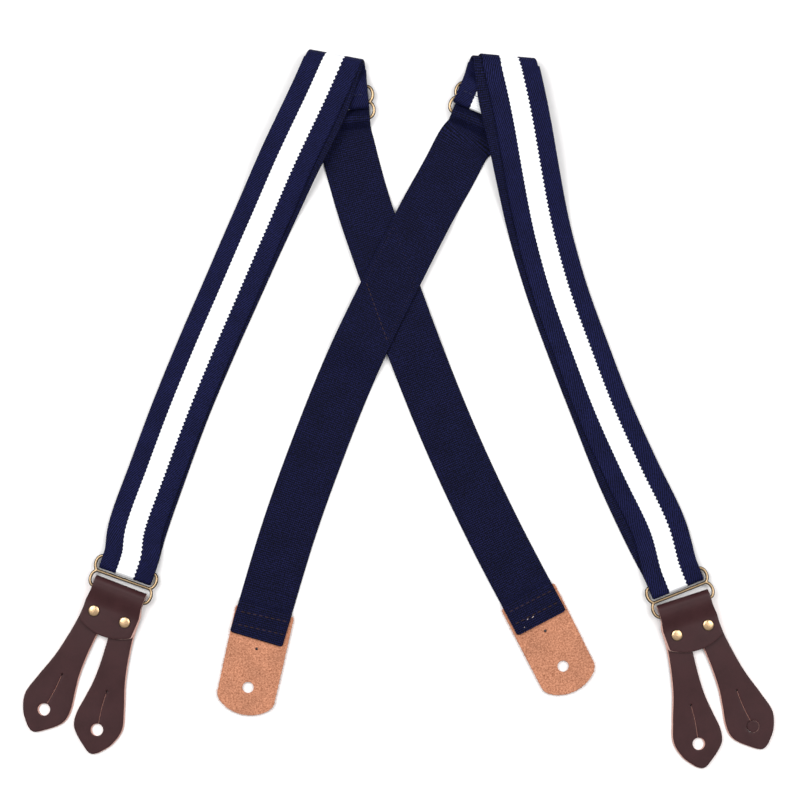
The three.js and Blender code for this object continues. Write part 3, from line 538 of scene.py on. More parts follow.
def even_curve(points, per_span=40):
    """Curve through the points whose tangents are half the chord between the two neighbours."""
    p = np.array(points, float)
    q = np.vstack([p[:1], p, p[-1:]])
    tangents = (q[2:] - q[:-2]) / 2
    return cubic_spans(p, tangents[:-1], tangents[1:], per_span)


def bow(start, middle, end, count):
    """Points on the curve (1-t)^2 start + 2t(1-t) middle + t^2 end."""
    t = np.linspace(0, 1, count)[:, None]
    return (1 - t)**2 * np.array(start) + 2 * t * (1 - t) * np.array(middle) + t**2 * np.array(end)


def run_of(line):
    """Distance along a line of points."""
    return np.concatenate([[0], np.cumsum(np.linalg.norm(np.diff(line, axis=0), axis=1))])


def spaced(line, step):
    """A line of points resampled at even steps."""
    run = run_of(line)
    at = np.linspace(0, run[-1], max(2, round(run[-1] / step) + 1))
    return np.stack([np.interp(at, run, line[:, k]) for k in range(line.shape[1])], -1)


class Route:
    """A strap's way over the table: place and heading at any distance along it."""

    def __init__(self, points):
        self.line = centripetal(points)
        self.run = run_of(self.line)
        self.length = self.run[-1]
        self.heading = unit(np.gradient(self.line, axis=0))

    def at(self, s):
        """Places and headings at distances s, straight on past either end."""
        held = np.clip(s, 0, self.length)
        both = np.hstack([self.line, self.heading])
        x, y, hx, hy = (np.interp(held, self.run, both[:, k]) for k in range(4))
        heading = unit(np.stack([hx, hy], -1))
        return np.stack([x, y], -1) + heading * (s - held)[:, None], heading

    def nearest(self, point):
        """Distance along the route of its nearest place to a point."""
        return self.run[np.argmin(np.linalg.norm(self.line - point, axis=1))]

    def rows(self, s, height, start_axis=None, end_axis=None):
        """Centres and half-width vectors. The rows stand square to the route, and turn to the fold's or
        the ring's axis over the last TURN_OVER."""
        s = np.asarray(s, float)
        centre, heading = self.at(s)
        square = np.stack([heading[:, 1], -heading[:, 0]], -1)
        across = square.copy()
        for axis, away in ((start_axis, s), (end_axis, self.length - s)):
            if axis is not None:
                target = axis * np.sign(square @ axis)[:, None]
                w = 1 - smooth(0, TURN_OVER, away)[:, None]
                across = unit(across * (1 - w) + target * w)
        side = across * (HALF_WEB / (across * square).sum(-1, keepdims=True))
        zero = np.zeros((len(s), 1))
        return np.hstack([centre, np.broadcast_to(height, len(s))[:, None]]), np.hstack([side, zero])


def half_turn(centre, axis, outward, radius, shifts, step):
    """Rows round a level axis, from the lower leg outwards and up to the upper leg."""
    angle = np.linspace(0, math.pi, max(9, round(math.pi * radius / step) + 1))[:, None]
    shift = shifts[0] + (shifts[1] - shifts[0]) * angle / math.pi
    rows = centre + axis * shift + outward * radius * np.sin(angle) - np.array([0, 0, radius]) * np.cos(angle)
    return rows, np.broadcast_to(axis * HALF_WEB, rows.shape)


def ups(centres, sides):
    """Unit normals of the cloth: its side crossed with the direction in which its rows follow."""
    return unit(np.cross(sides, np.gradient(centres, axis=0)))


# ------------------------------------------------------------------ meshes
def make_piece(name, points, faces, materials, choice=None, sharp=40.0):
    """Mesh object from points in mm, with smooth shading and edges sharp beyond an angle in degrees."""
    mesh = bpy.data.meshes.new(name)
    mesh.from_pydata(np.asarray(points, float) * MM, [], list(faces))
    for material in materials:
        mesh.materials.append(material)
    if choice is not None:
        mesh.polygons.foreach_set("material_index", np.asarray(choice, np.int32))
    mesh.update()
    mesh.shade_smooth()
    mesh.set_sharp_from_angle(angle=math.radians(sharp))
    piece = bpy.data.objects.new(name, mesh)
    bpy.context.scene.collection.objects.link(piece)
    return piece


def ring_faces(rings, sides, closed=False):
    """Quads between neighbouring rings of points, and an end face on each open end."""
    i = np.arange(rings if closed else rings - 1)[:, None] * sides
    k = np.arange(sides)[None, :]
    nxt = (k + 1) % sides
    j = (i + sides) % (rings * sides)
    quads = np.stack([i + k, j + k, j + nxt, i + nxt], -1).reshape(-1, 4).tolist()
    if not closed:
        last = (rings - 1) * sides
        quads += [list(range(sides)), [last + n for n in reversed(range(sides))]]
    return quads


def put_attribute(piece, name, kind, values):
    """One value or vector for each point of a piece."""
    attribute = piece.data.attributes.new(name, kind, "POINT")
    key = "vector" if kind == "FLOAT_VECTOR" else "value"
    attribute.data.foreach_set(key, np.asarray(values, np.float32).ravel())


def band_section():
    """Section of the webbing, as shares of its half width and half thickness: flat faces, selvedges that
    are half ellipses, and a slightly thicker rim where the selvedge yarns crowd."""
    flat = 1 - SELVEDGE / HALF_WEB
    across = np.linspace(-flat, flat, 15)
    rim = 1 + 0.05 * np.exp(-((np.abs(across) - 0.93) / 0.03) ** 2)
    angle = np.linspace(0, math.pi, 7)[1:-1]
    edge = np.stack([flat + (1 - flat) * np.sin(angle), np.cos(angle)], -1)
    top = np.stack([across, rim], -1)
    return np.vstack([top, edge, top[::-1] * (1, -1), edge[::-1] * (-1, 1)])


def webbing_piece(name, rows, material, face_up, start=0.0, rounded_end=False, stripe_shift=0.0):
    """Band of webbing through rows of centres, half widths and normals. Each ring is the band's section, and
    every other ring stands out 0.1 mm at the selvedges, where the weft turns back. The stripe lies off the
    middle by its shift, towards lower x; on the left side's loop the shift puts navy instead of white into
    the shadow at the loop's lower turn, as painted shade."""
    centres, sides, normals = rows
    section = band_section()
    run = run_of(centres)
    width = np.ones(len(run))
    if rounded_end:
        corner = 1.6
        left = np.clip(corner - (run[-1] - run), 0, corner)
        width -= (corner - np.sqrt(corner**2 - left**2)) / HALF_WEB
    knuckle = 1 + 0.0055 * (np.arange(len(run)) % 2) * (run > 1) * (run < run[-1] - 1)
    a = section[None, :, 0] * width[:, None]
    a = a * np.where(np.abs(section[:, 0]) > 0.96, knuckle[:, None], 1)
    points = (centres[:, None] + sides[:, None] * a[..., None]
              + normals[:, None] * section[None, :, 1:2] * (WEB / 2))
    piece = make_piece(name, points.reshape(-1, 3), ring_faces(len(run), len(section)), [material], sharp=60)
    towards = 1.0 if sides[:, 0].mean() > 0 else -1.0
    face = (section[:, 1] * face_up > 0).astype(float)
    shape = points.shape[:2]
    weave = np.stack([towards * HALF_WEB * a + stripe_shift, np.broadcast_to((start + run)[:, None], shape),
                      np.broadcast_to(face, shape)], -1)
    put_attribute(piece, "weave", "FLOAT_VECTOR", weave)
    return piece, run[-1]


def bend_over(piece, first_body, last_body, rows):
    """Bakes a stretch that lies between two bodies into place on the table; it is not blended between them
    and rides on neither."""
    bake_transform(piece)


# ------------------------------------------------------------------ the straps
def leading_rows(end, step):
    """Even distances up to where a shaped stretch starts, and at least the first."""
    if end <= 2 * ROW_GAP:
        return np.zeros(1)
    lead = np.linspace(0, end, max(2, round(end / step)))[:-1]
    return lead[lead < end - ROW_GAP]


class Strap:
    """Every row of one strap: the back run through the slide, the two shoulder folds, the front with
    the turn round the ring, and the doubled-back end with its sewn loop."""
    # A route passes straight over the slide from ABOVE_SLIDE above its middle to BELOW_SLIDE below it, or
    # to BELOW_BAR for the doubled end. A shaped row nearer than MERGE to the row before it is left out.
    ABOVE_SLIDE, BELOW_SLIDE, BELOW_BAR = 14, 18, 10
    MERGE = 0.2

    def __init__(self, side, step):
        self.side, self.step = side, step
        self.axis = axis = unit(np.array(side["fold_axis"], float))
        centre = np.array(side["fold_centre"], float)
        slide = np.array(side["slide"], float)
        turn = math.radians(side["slide_heading"])
        up = np.array([-math.sin(turn), math.cos(turn)])
        bar = np.array([up[1], -up[0]])

        def near(distance, shift=0.0):
            """A place below the slide's middle, moved along its bars."""
            return slide - up * distance + bar * shift

        main, shift = side["main_shift"], side["slide_return_shift"]
        self.back = Route([centre + axis * main, near(-self.ABOVE_SLIDE), near(0), near(self.BELOW_SLIDE),
                           *side["back"]])
        self.slide_at = self.back.nearest(slide)
        self.cross_at = self.back.nearest(np.zeros(2))
        self.doubled = Route([centre + axis * side["return_shift"][0], near(-self.ABOVE_SLIDE, shift),
                              near(0, shift), near(self.BELOW_BAR, shift)])
        self.bar_at = self.doubled.nearest(near(0, shift))
        self.fold_centre = np.array([*centre, FOLD_HEIGHT])
        self.outward, self.axis3 = np.array([-axis[1], axis[0], 0]), np.array([*axis, 0])
        ring_turn = math.radians(side["ring_turn"])
        self.ring_axis = np.array([math.cos(ring_turn), math.sin(ring_turn), 0])
        self.down = np.array([self.ring_axis[1], -self.ring_axis[0], 0])
        bight = np.array(side["ring"]) + self.down[:2] * BIGHT_REACH
        self.bight = np.array([*bight, RING_HEIGHT])
        self.front = Route([centre - axis * main, *side["front"], side["ring"], bight])
        self.returning = Route([centre + axis * side["return_shift"][1], *side["returning"], side["ring"],
                                bight])

    def back_height(self, s):
        """Height of the back strap: on the table, up over the crossing, and up onto the back tab."""
        crossing = 1 - smooth(CROSS_FLAT, CROSS_FOOT, np.abs(s - self.cross_at))
        on_tab = smooth(self.back.length - FLEX_FROM, self.back.length - BACK_TOP - 0.5, s)
        return (ON_TABLE + (self.side["cross_height"] - ON_TABLE) * crossing
                + (ON_BACK_TAB - ON_TABLE) * on_tab)

    def back_rows(self):
        """Distances and rows of the whole back run, from the fold to the back tab."""
        above = [(-w, z) for w, z in WEAVE_HALF[:0:-1]]
        weave = spaced(even_curve(above + WEAVE_HALF), self.step)
        weave[:, 1] = np.maximum(weave[:, 1], ON_TABLE)
        reach = WEAVE_HALF[-1][0]
        lead = leading_rows(self.slide_at - reach, self.step)
        weave = weave[weave[:, 0] + self.slide_at > lead[-1] + self.MERGE]
        rest = np.arange(self.slide_at + reach + self.step, self.back.length, self.step)
        rest = np.append(rest[rest < self.back.length - ROW_GAP], self.back.length)
        s = np.concatenate([lead, weave[:, 0] + self.slide_at, rest])
        z = np.concatenate([np.full(len(lead), ON_TABLE), weave[:, 1], self.back_height(rest)])
        centres, sides = self.back.rows(s, z, self.axis)
        return s, (centres, sides, ups(centres, sides))

    def doubled_rows(self):
        """Distances and rows of the doubled-back end: over the slide's bars, round the middle one, and
        tucked back underneath."""
        angle = np.linspace(0, math.pi, 11)[1:-1]
        turn = np.stack([SEWN_LOOP[-1][0] + MIDDLE_TURN_REACH * np.sin(angle),
                         SLIDE_HEIGHT + MIDDLE_TURN_HALF * np.cos(angle)], -1)
        lead_to = self.bar_at + SEWN_LOOP[0][0]
        path = spaced(np.vstack([even_curve(SEWN_LOOP), turn, even_curve(SEWN_FLAP)]), self.step)
        lead = np.arange(0, lead_to - 0.4, self.step) if lead_to > 2 * ROW_GAP else np.zeros(1)
        path = path[path[:, 0] + self.bar_at > lead[-1] + self.MERGE]
        s = np.concatenate([lead, path[:, 0] + self.bar_at])
        z = np.concatenate([np.full(len(lead), SECOND_LAYER), path[:, 1]])
        centres, sides = self.doubled.rows(s, z, self.axis)
        return s, (centres, sides, ups(centres, sides))

    def front_rows(self):
        """Rows of the front in one run: down to the ring, round its upper bar, and back up under itself."""
        axis2 = self.ring_axis[:2]
        legs = []
        for route, high, low, end in ((self.front, FOLD_HEIGHT + FOLD_RADIUS, SECOND_LAYER, 1),
                                      (self.returning, FOLD_HEIGHT + INNER_FOLD_RADIUS, ON_TABLE, -1)):
            s = np.linspace(0, route.length, round(route.length / self.step) + 1)
            z = high + (low - high) * smooth(*FRONT_DESCENT, s)
            bar_at = route.length - BIGHT_REACH
            rise = smooth(bar_at - RING_RISE[0], bar_at - RING_RISE[1], s)
            z = z + (RING_HEIGHT + end * BIGHT_RADIUS - low) * rise
            legs.append(route.rows(s, z, self.axis, axis2))
        bight, bight_sides = half_turn(self.bight, self.ring_axis, self.down, BIGHT_RADIUS, (0, 0), self.step)
        (front, front_sides), (back, back_sides) = legs
        centres = np.vstack([front, bight[::-1][1:-1], back[::-1]])
        sides = np.vstack([front_sides, -bight_sides[1:-1], back_sides[::-1]])
        return centres, sides, ups(centres, sides)

    def fold_rows(self, radius, shifts):
        """Rows of one shoulder fold, closer together than elsewhere."""
        centres, sides = half_turn(self.fold_centre, self.axis3, self.outward, radius, shifts,
                                   self.step / 1.5)
        return centres, sides, ups(centres, sides)


def cut(rows, first, last):
    """The rows from the first to the last, both included."""
    return tuple(part[first:last + 1] for part in rows)


def build_strap(name, side, webbing, material):
    """Every stretch of one strap, each on the body that it moves with or between two."""
    strap = Strap(side, webbing.step / MM)
    back_body, slide_body = "back", f"{name}_slide_body"
    tab_body = f"{name}_back_tab_body"

    s, rows = strap.back_rows()
    length = strap.back.length
    ends = (strap.slide_at - WEAVE_ABOVE, strap.slide_at + WEAVE_BELOW, strap.slide_at + RUN_BELOW,
            length - FLEX_TO, length - FLEX_FROM)
    marks = [0, *np.searchsorted(s, ends), len(s) - 1]
    stretches = [("adjusting_stretch_top", (back_body, slide_body)), ("strap_in_slide", (slide_body,)),
                 ("adjusting_stretch", (slide_body, back_body)), ("back_strap", (back_body,)),
                 ("back_strap_flex", (back_body, tab_body)), ("back_strap_end", (tab_body,))]
    for (node, bodies), first, last in zip(stretches, marks[:-1], marks[1:]):
        part = cut(rows, first, last)
        piece, size = webbing_piece(f"{name}_{node}_webbing", part, material, -1, s[first],
                                    rounded_end=node == "back_strap_end")
        place_stretch(piece, bodies, part, f"{name}_{node}")

    s, rows = strap.doubled_rows()
    split = int(np.argmax(s > strap.bar_at - WEAVE_ABOVE))
    for node, bodies, first, last in (("return_strap_end", (back_body, slide_body), 0, split),
                                      ("sewn_loop", (slide_body,), split, len(s) - 1)):
        part = cut(rows, first, last)
        piece, size = webbing_piece(f"{name}_{node}_webbing", part, material, 1,
                                    stripe_shift=side["stripe_shift"])
        place_stretch(piece, bodies, part, f"{name}_{node}")

    rows = strap.front_rows()
    piece, size = webbing_piece(f"{name}_front_webbing", rows, material, 1)
    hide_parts(f"{name}_front_strap", f"{name}_strap_bight", f"{name}_return_strap")
    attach(piece, f"{name}_front")

    main = side["main_shift"]
    folds = (("shoulder_fold", FOLD_RADIUS, (main, -main), -1),
             ("inner_shoulder_fold", INNER_FOLD_RADIUS, side["return_shift"], 1))
    for node, radius, shifts, face_up in folds:
        rows = strap.fold_rows(radius, shifts)
        size = run_of(rows[0])[-1]
        piece = webbing_piece(f"{name}_{node}_webbing", rows, material, face_up, -size)[0]
        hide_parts(f"{name}_{node}")
        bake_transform(piece)


def place_stretch(piece, bodies, rows, node):
    """Stands for its CAD node, and rides on one body, or is baked in place when it lies between two."""
    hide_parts(node)
    if len(bodies) == 1:
        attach(piece, bodies[0])
    else:
        bend_over(piece, *bodies, rows)


# ------------------------------------------------------------------ brass
def loop_line(top, reach, steps=24):
    """Centre line of one loop: two straight bars joined by half ellipses."""
    angle = np.linspace(math.pi / 2, -math.pi / 2, steps)
    right = np.stack([BAR_HALF + reach * np.cos(angle), LOOP_PITCH / 2 * np.sin(angle)], -1)
    line = np.vstack([right, -right])
    line[:, 1] += top - LOOP_PITCH / 2
    return line


def wire_points(line, radius, sides=20):
    """Round wire along a closed flat line: a circle in the plane of each point's outward normal and Z."""
    tangent = unit(np.roll(line, -1, 0) - np.roll(line, 1, 0))
    outward = np.stack([-tangent[:, 1], tangent[:, 0]], -1)
    angle = np.linspace(0, 2 * math.pi, sides, endpoint=False)
    flat = line[:, None] + outward[:, None] * radius * np.cos(angle)[None, :, None]
    height = np.broadcast_to(-radius * np.sin(angle)[None, :, None], (*flat.shape[:2], 1))
    return np.concatenate([flat, height], -1).reshape(-1, 3)


def casting(name, reach, place, metal, material):
    """Two loops side by side, the second a hair thinner, run together by a voxel remesh and smoothed, as a
    casting's joints are filleted. Each point gets a share by how far its normal looks up or down: bright
    rubbed brass on the crowns, and dark on the flanks, which is partly antiquing and partly painted shade on
    the sides of the wire."""
    sides = 20
    first = wire_points(loop_line(0, reach), WIRE * 1.02, sides)
    second = wire_points(loop_line(-LOOP_PITCH, reach), WIRE, sides)
    count = len(first) // sides
    faces = ring_faces(count, sides, closed=True)
    faces += [[v + len(first) for v in f] for f in faces]
    piece = make_piece(name, place(np.vstack([first, second])), faces, [material])
    remesh = piece.modifiers.new("cast", "REMESH")
    remesh.mode = "VOXEL"
    remesh.voxel_size = metal.voxel
    soften = piece.modifiers.new("fillet", "SMOOTH")
    soften.iterations = 6
    evaluated = piece.evaluated_get(bpy.context.evaluated_depsgraph_get())
    mesh = bpy.data.meshes.new_from_object(evaluated)
    piece.modifiers.clear()
    piece.data = mesh
    mesh.materials.clear()
    mesh.materials.append(material)
    mesh.shade_smooth()
    normals = np.zeros(len(mesh.vertices) * 3, np.float32)
    mesh.vertex_normals.foreach_get("vector", normals)
    # Up- and down-facing crowns bright, flanks dark: wear and antiquing, with painted shade on the wire's
    # sides.
    put_attribute(piece, "wear_and_shade", "FLOAT", np.abs(normals.reshape(-1, 3)[:, 2]) ** 4)
    return piece


def lathe(profile, sides=48):
    """Solid of revolution about Z. The profile is radii and heights, from the axis and back to it."""
    angle = np.linspace(0, 2 * math.pi, sides, endpoint=False)
    inner = np.array(profile[1:-1], float)
    rings = np.stack([inner[:, None, 0] * np.cos(angle), inner[:, None, 0] * np.sin(angle),
                      np.broadcast_to(inner[:, 1:2], (len(inner), sides))], -1)
    points = np.vstack([[[0, 0, profile[0][1]]], rings.reshape(-1, 3), [[0, 0, profile[-1][1]]]])
    quads = (np.array(ring_faces(len(inner), sides)[:-2]) + 1)[:, ::-1].tolist()
    k = np.arange(sides)
    last = 1 + (len(inner) - 1) * sides
    bottom = np.stack([np.zeros(sides, int), (k + 1) % sides + 1, k + 1], -1).tolist()
    top = np.stack([np.full(sides, len(points) - 1), last + k, last + (k + 1) % sides], -1).tolist()
    return points, quads + bottom + top


def dome(radius, low, rise, steps=14):
    """Profile of a low dome: radius times the cosine, and rise times the sine of an angle to the power
    0.8, which flattens the crown."""
    angle = np.linspace(0, math.pi / 2, steps)
    return np.stack([radius * np.cos(angle), low + rise * np.sin(angle) ** 0.8], -1).tolist()


# ------------------------------------------------------------------ leather
def offset_loop(loop, distance):
    """A closed line moved outwards by a distance, along the mean normal of its two sides."""
    after, before = np.roll(loop, -1, 0) - loop, loop - np.roll(loop, 1, 0)
    normal = unit(unit(np.stack([after[:, 1], -after[:, 0]], -1))
                  + unit(np.stack([before[:, 1], -before[:, 0]], -1)))
    return loop + normal * distance


def inside(points, loop):
    """Whether each point lies inside a closed line, by counting crossings to its right."""
    x, y = points[:, 0:1], points[:, 1:2]
    a, b = loop[None], np.roll(loop, -1, 0)[None]
    spans = (a[..., 1] > y) != (b[..., 1] > y)
    rise = np.where(b[..., 1] == a[..., 1], 1e-12, b[..., 1] - a[..., 1])
    cross = x < (b[..., 0] - a[..., 0]) * (y - a[..., 1]) / rise + a[..., 0]
    return (spans & cross).sum(1) % 2 == 1


def fill(loops, spacing):
    """Triangles that fill the first loop outside the others, over the loops' points and an even lattice
    inside, so that the sheet can bend."""
    low, high = loops[0].min(0), loops[0].max(0)
    grid = np.stack(np.meshgrid(np.arange(low[0], high[0], spacing[0]),
                                np.arange(low[1], high[1], spacing[1])), -1).reshape(-1, 2)
    border = np.vstack(loops)
    kept = inside(grid, loops[0])
    for hole in loops[1:]:
        kept &= ~inside(grid, hole)
    gap = min(spacing) * 0.5
    near = np.array([np.abs(border - p).max(1).min() < gap for p in grid[kept]])
    points = np.vstack([border, grid[kept][~near]])
    edges, first = [], 0
    for loop in loops:
        k = np.arange(len(loop))
        edges += np.stack([first + k, first + (k + 1) % len(loop)], -1).tolist()
        first += len(loop)
    made = delaunay_2d_cdt([tuple(p) for p in points], edges, [], 0, 1e-6)
    flat = np.array([tuple(v) for v in made[0]])
    triangles = np.array([f for f in made[2] if len(f) == 3])
    centre = flat[triangles].mean(1)
    keep = inside(centre, loops[0])
    for hole in loops[1:]:
        keep &= ~inside(centre, hole)
    triangles = triangles[keep]
    a, b, c = (flat[triangles[:, i]] for i in range(3))
    area = (b[:, 0] - a[:, 0]) * (c[:, 1] - a[:, 1]) - (b[:, 1] - a[:, 1]) * (c[:, 0] - a[:, 0])
    triangles[area < 0] = triangles[area < 0][:, ::-1]
    return flat, triangles


def shaded_relief_hole(loop):
    """Which points of a hole's line belong to a relief hole, whose wall takes the dark grain as painted shade
    inside the narrow hole.
    """
    x, y, radius = RELIEF_HOLE
    front = np.hypot(np.abs(loop[:, 0]) - x, loop[:, 1] - y)
    back = np.hypot(loop[:, 0], loop[:, 1] - BACK_RELIEF)
    return np.minimum(front, back) < radius * 1.1


def cut_leather(name, loops, thickness, edge, spacing, place, materials):
    """Leather cut to closed lines, the first round the piece (anticlockwise) and the others round its
    holes. Its two faces are filled flat, its walls carry a rounded section round each line, and place
    bends it: it takes x, y and the height within the leather."""
    r = edge
    section = [(r, 0.0), (0.45 * r, -0.12 * r), (0.1 * r, -0.5 * r), (0.0, -1.1 * r)]
    depth = [(-inset, thickness + z) for inset, z in section]
    depth += [(0.0, thickness / 2)] + [(-inset, -z) for inset, z in reversed(section)]
    points, faces, choice, start = [], [], [], 0
    for n, loop in enumerate(loops):
        rings = []
        for outset, height in depth:
            moved = offset_loop(loop, outset if n == 0 else -outset)
            rings.append(np.hstack([moved, np.full((len(loop), 1), height)]))
        points.append(np.vstack(rings))
        count, sides = len(depth), len(loop)
        quads = np.array(ring_faces(count, sides)[:-2])
        quads = quads if n == 0 else quads[:, ::-1]
        faces += (quads + start).tolist()
        level = np.repeat(np.arange(count - 1), sides)
        # The relief holes' walls take the second, dark material as painted shade, so that the narrow hole
        # reads dark.
        dark = np.tile(shaded_relief_hole(loop) if n else np.zeros(sides, bool), count - 1)
        choice += np.where(dark, 1, np.where(level < 2, 0, np.where(level < count - 3, 2, 1))).tolist()
        start += len(points[-1])
    for height, face in ((thickness, 0), (0.0, 1)):
        row = 0 if face == 0 else len(depth) - 1
        borders = [block[row * len(loop):(row + 1) * len(loop), :2] for loop, block in zip(loops, points)]
        flat, triangles = fill(borders, spacing)
        points.append(np.hstack([flat, np.full((len(flat), 1), height)]))
        triangles = triangles if face == 0 else triangles[:, ::-1]
        faces += (triangles + start).tolist()
        choice += [face] * len(triangles)
        start += len(flat)
    piece = make_piece(name, place(np.vstack(points)), faces, materials, choice)
    bm = bmesh.new()
    bm.from_mesh(piece.data)
    bmesh.ops.remove_doubles(bm, verts=bm.verts, dist=0.002 * MM)
    bm.to_mesh(piece.data)
    bm.free()
    piece.data.shade_smooth()
    piece.data.set_sharp_from_angle(angle=math.radians(50))
    return piece


def circle(x, y, radius, count, start=0.0, sweep=2 * math.pi):
    """Points round a circle, or round part of it."""
    angle = start + np.linspace(0, sweep, count, endpoint=sweep < 2 * math.pi)
    return np.stack([x + radius * np.cos(angle), y + radius * np.sin(angle)], -1)


def keyhole(side):
    """One hole: the button hole, a slit that bows, and the small relief hole, anticlockwise."""
    (hx, hy, hr), (rx, ry, rr) = EAR_HOLE, RELIEF_HOLE
    way = math.atan2(ry - hy, rx - hx)
    gap, small = math.asin(SLIT_HALF / hr), math.asin(SLIT_HALF / rr)
    big = circle(hx, hy, hr, 44, way + gap, 2 * math.pi - 2 * gap)
    top = circle(rx, ry, rr, 12, way + math.pi + small, 2 * math.pi - 2 * small)

    def slit(a, b, sign):
        """One side of the slit: a straight line, bowed by a sine."""
        t = np.linspace(0, 1, 26)[1:-1, None]
        normal = np.array([-(b - a)[1], (b - a)[0]]) / np.linalg.norm(b - a)
        return a + (b - a) * t + normal * sign * SLIT_BOW * np.sin(math.pi * t)

    line = np.vstack([big, slit(big[-1], top[0], 1), top, slit(top[-1], big[0], -1)])
    if side < 0:
        line = line[::-1] * (-1, 1)
    return line


def tab_bend(points, lean):
    """Bends the flat front tab. Its y runs from the ears' tips, below 0, up to the ring's bar, round it,
    and back down as the flap. The middle of the leather follows that path, and the height within the
    leather is taken along the path's normal. The flap is pressed down past the bar, and dented by its
    rivets. The x stays, but for the cut edge's lean, which moves the lower side of the leather across."""
    x, t, n = points.T
    n = LEATHER / 2 - n
    lower_height = RIVET_FOOT * (1 - smooth(35, 75, -t)) + 0.1 * smooth(-8, 0, t) + LEATHER / 2
    turn = np.clip((t - FLAT_TURN) / MIDDLE_RADIUS, 0, math.pi) - math.pi / 2
    y_flap = FLAT_TURN - (t - FLAT_TURN - ROUND_BAR)
    bottom, rest = BAR_HEIGHT + WIRE + BAR_ROOM, BAR_HEIGHT - WIRE - BAR_ROOM + FLAP_LIFT
    drop_from, drop_to = -1, 12
    flap_height = rest + (bottom - rest) * (1 - smooth(drop_from, drop_to, -y_flap)) + LEATHER / 2
    share = np.clip((-y_flap - drop_from) / (drop_to - drop_from), 0, 1)
    tilt = np.arctan((bottom - rest) * 6 * share * (1 - share) / (drop_to - drop_from))
    zone = np.where(t <= FLAT_TURN, 0, np.where(t < FLAT_TURN + ROUND_BAR, 1, 2))
    y_mid = np.choose(zone, [t, FLAT_TURN + MIDDLE_RADIUS * np.cos(turn), y_flap])
    z_mid = np.choose(zone, [lower_height, BAR_HEIGHT + MIDDLE_RADIUS * np.sin(turn), flap_height])
    ny = np.choose(zone, [0 * t, np.cos(turn), -np.sin(tilt)])
    nz = np.choose(zone, [-np.ones(len(t)), np.sin(turn), np.cos(tilt)])
    for rivet_x in (-RIVET[0], RIVET[0]):
        away = (x - rivet_x) ** 2 + (y_mid - RIVET[1]) ** 2
        z_mid = z_mid - np.where(zone == 2, 0.16, 0) * np.exp(-away / 22)
    depth = 0.5 - nz * n / LEATHER
    leaning = lean * depth * smooth(3, 11, -y_mid)
    return np.stack([x + leaning, y_mid + ny * n, z_mid + nz * n], -1)


def tab_outline():
    """Round the flat front tab, anticlockwise: down the left side to the left ear, round both ears and
    the slot between them, up the right side, and along the flap's curved end."""
    ear = even_curve(EAR_INNER + EAR_TIP + EAR_OUTER, 12)
    right = spaced(np.vstack([[0, -21], [1.6, -21.6], ear]), 0.9)
    left = right[1:][::-1] * (-1, 1)
    side_end = (17.7, FLAP_START + 22.3)
    end_start, end_middle = (16.2, FLAP_START + 24.2), (0, FLAP_START + 33.0)
    side = spaced(np.array([[BAND_HALF, -9], [FOLD_HALF, -3], [FOLD_HALF, FLAP_START + 3],
                            [BAND_HALF, FLAP_START + 10], side_end]), 0.8)
    corner = bow(side_end, (17.6, FLAP_START + 23.6), end_start, 12)
    edge = np.vstack([side, corner[1:]])
    end = bow(end_start, end_middle, (-end_start[0], end_start[1]), 42)
    line = np.vstack([left, right, edge, end[1:-1], (edge * (-1, 1))[::-1]])
    run = np.linalg.norm(line - np.roll(line, 1, 0), axis=1)
    return line[run > 0.05]


def tab_frame(side):
    """Places points of a front tab's own frame on the table."""
    def place(points):
        q = turned(points, side["tab_skew"], (side["tab_shift"], BAR_Y))
        return turned(q, side["ring_turn"], side["ring"])
    return place


def back_outline():
    """Round a back tab, anticlockwise: a band with small round corners above and a rounded end below.
    Its edge wanders by up to 0.16 mm, as a hand-cut edge does."""
    h, top, tip = BACK_HALF, BACK_TOP, BACK_TIP
    half = np.vstack([[[0.0, tip]], bow((0, tip), (8, tip), (h - 4.6, tip + 4.6), 14)[1:],
                      bow((h - 4.6, tip + 4.6), (h - 0.6, tip + 7.5), (h - 0.4, tip + 11), 10)[1:],
                      [[h, top - 2]], bow((h, top - 2), (h, top), (h - 2, top), 7)[1:]])
    line = np.vstack([half, (half[1:] * (-1, 1))[::-1]])
    line = spaced(np.vstack([line, line[:1]]), 0.7)[:-1]
    run = run_of(line)
    wander = 0.07 * np.sin(run * 1.9) + 0.05 * np.sin(run * 4.7 + 1) + 0.04 * np.sin(run * 9.1 + 2)
    return line + (offset_loop(line, 1.0) - line) * wander[:, None]


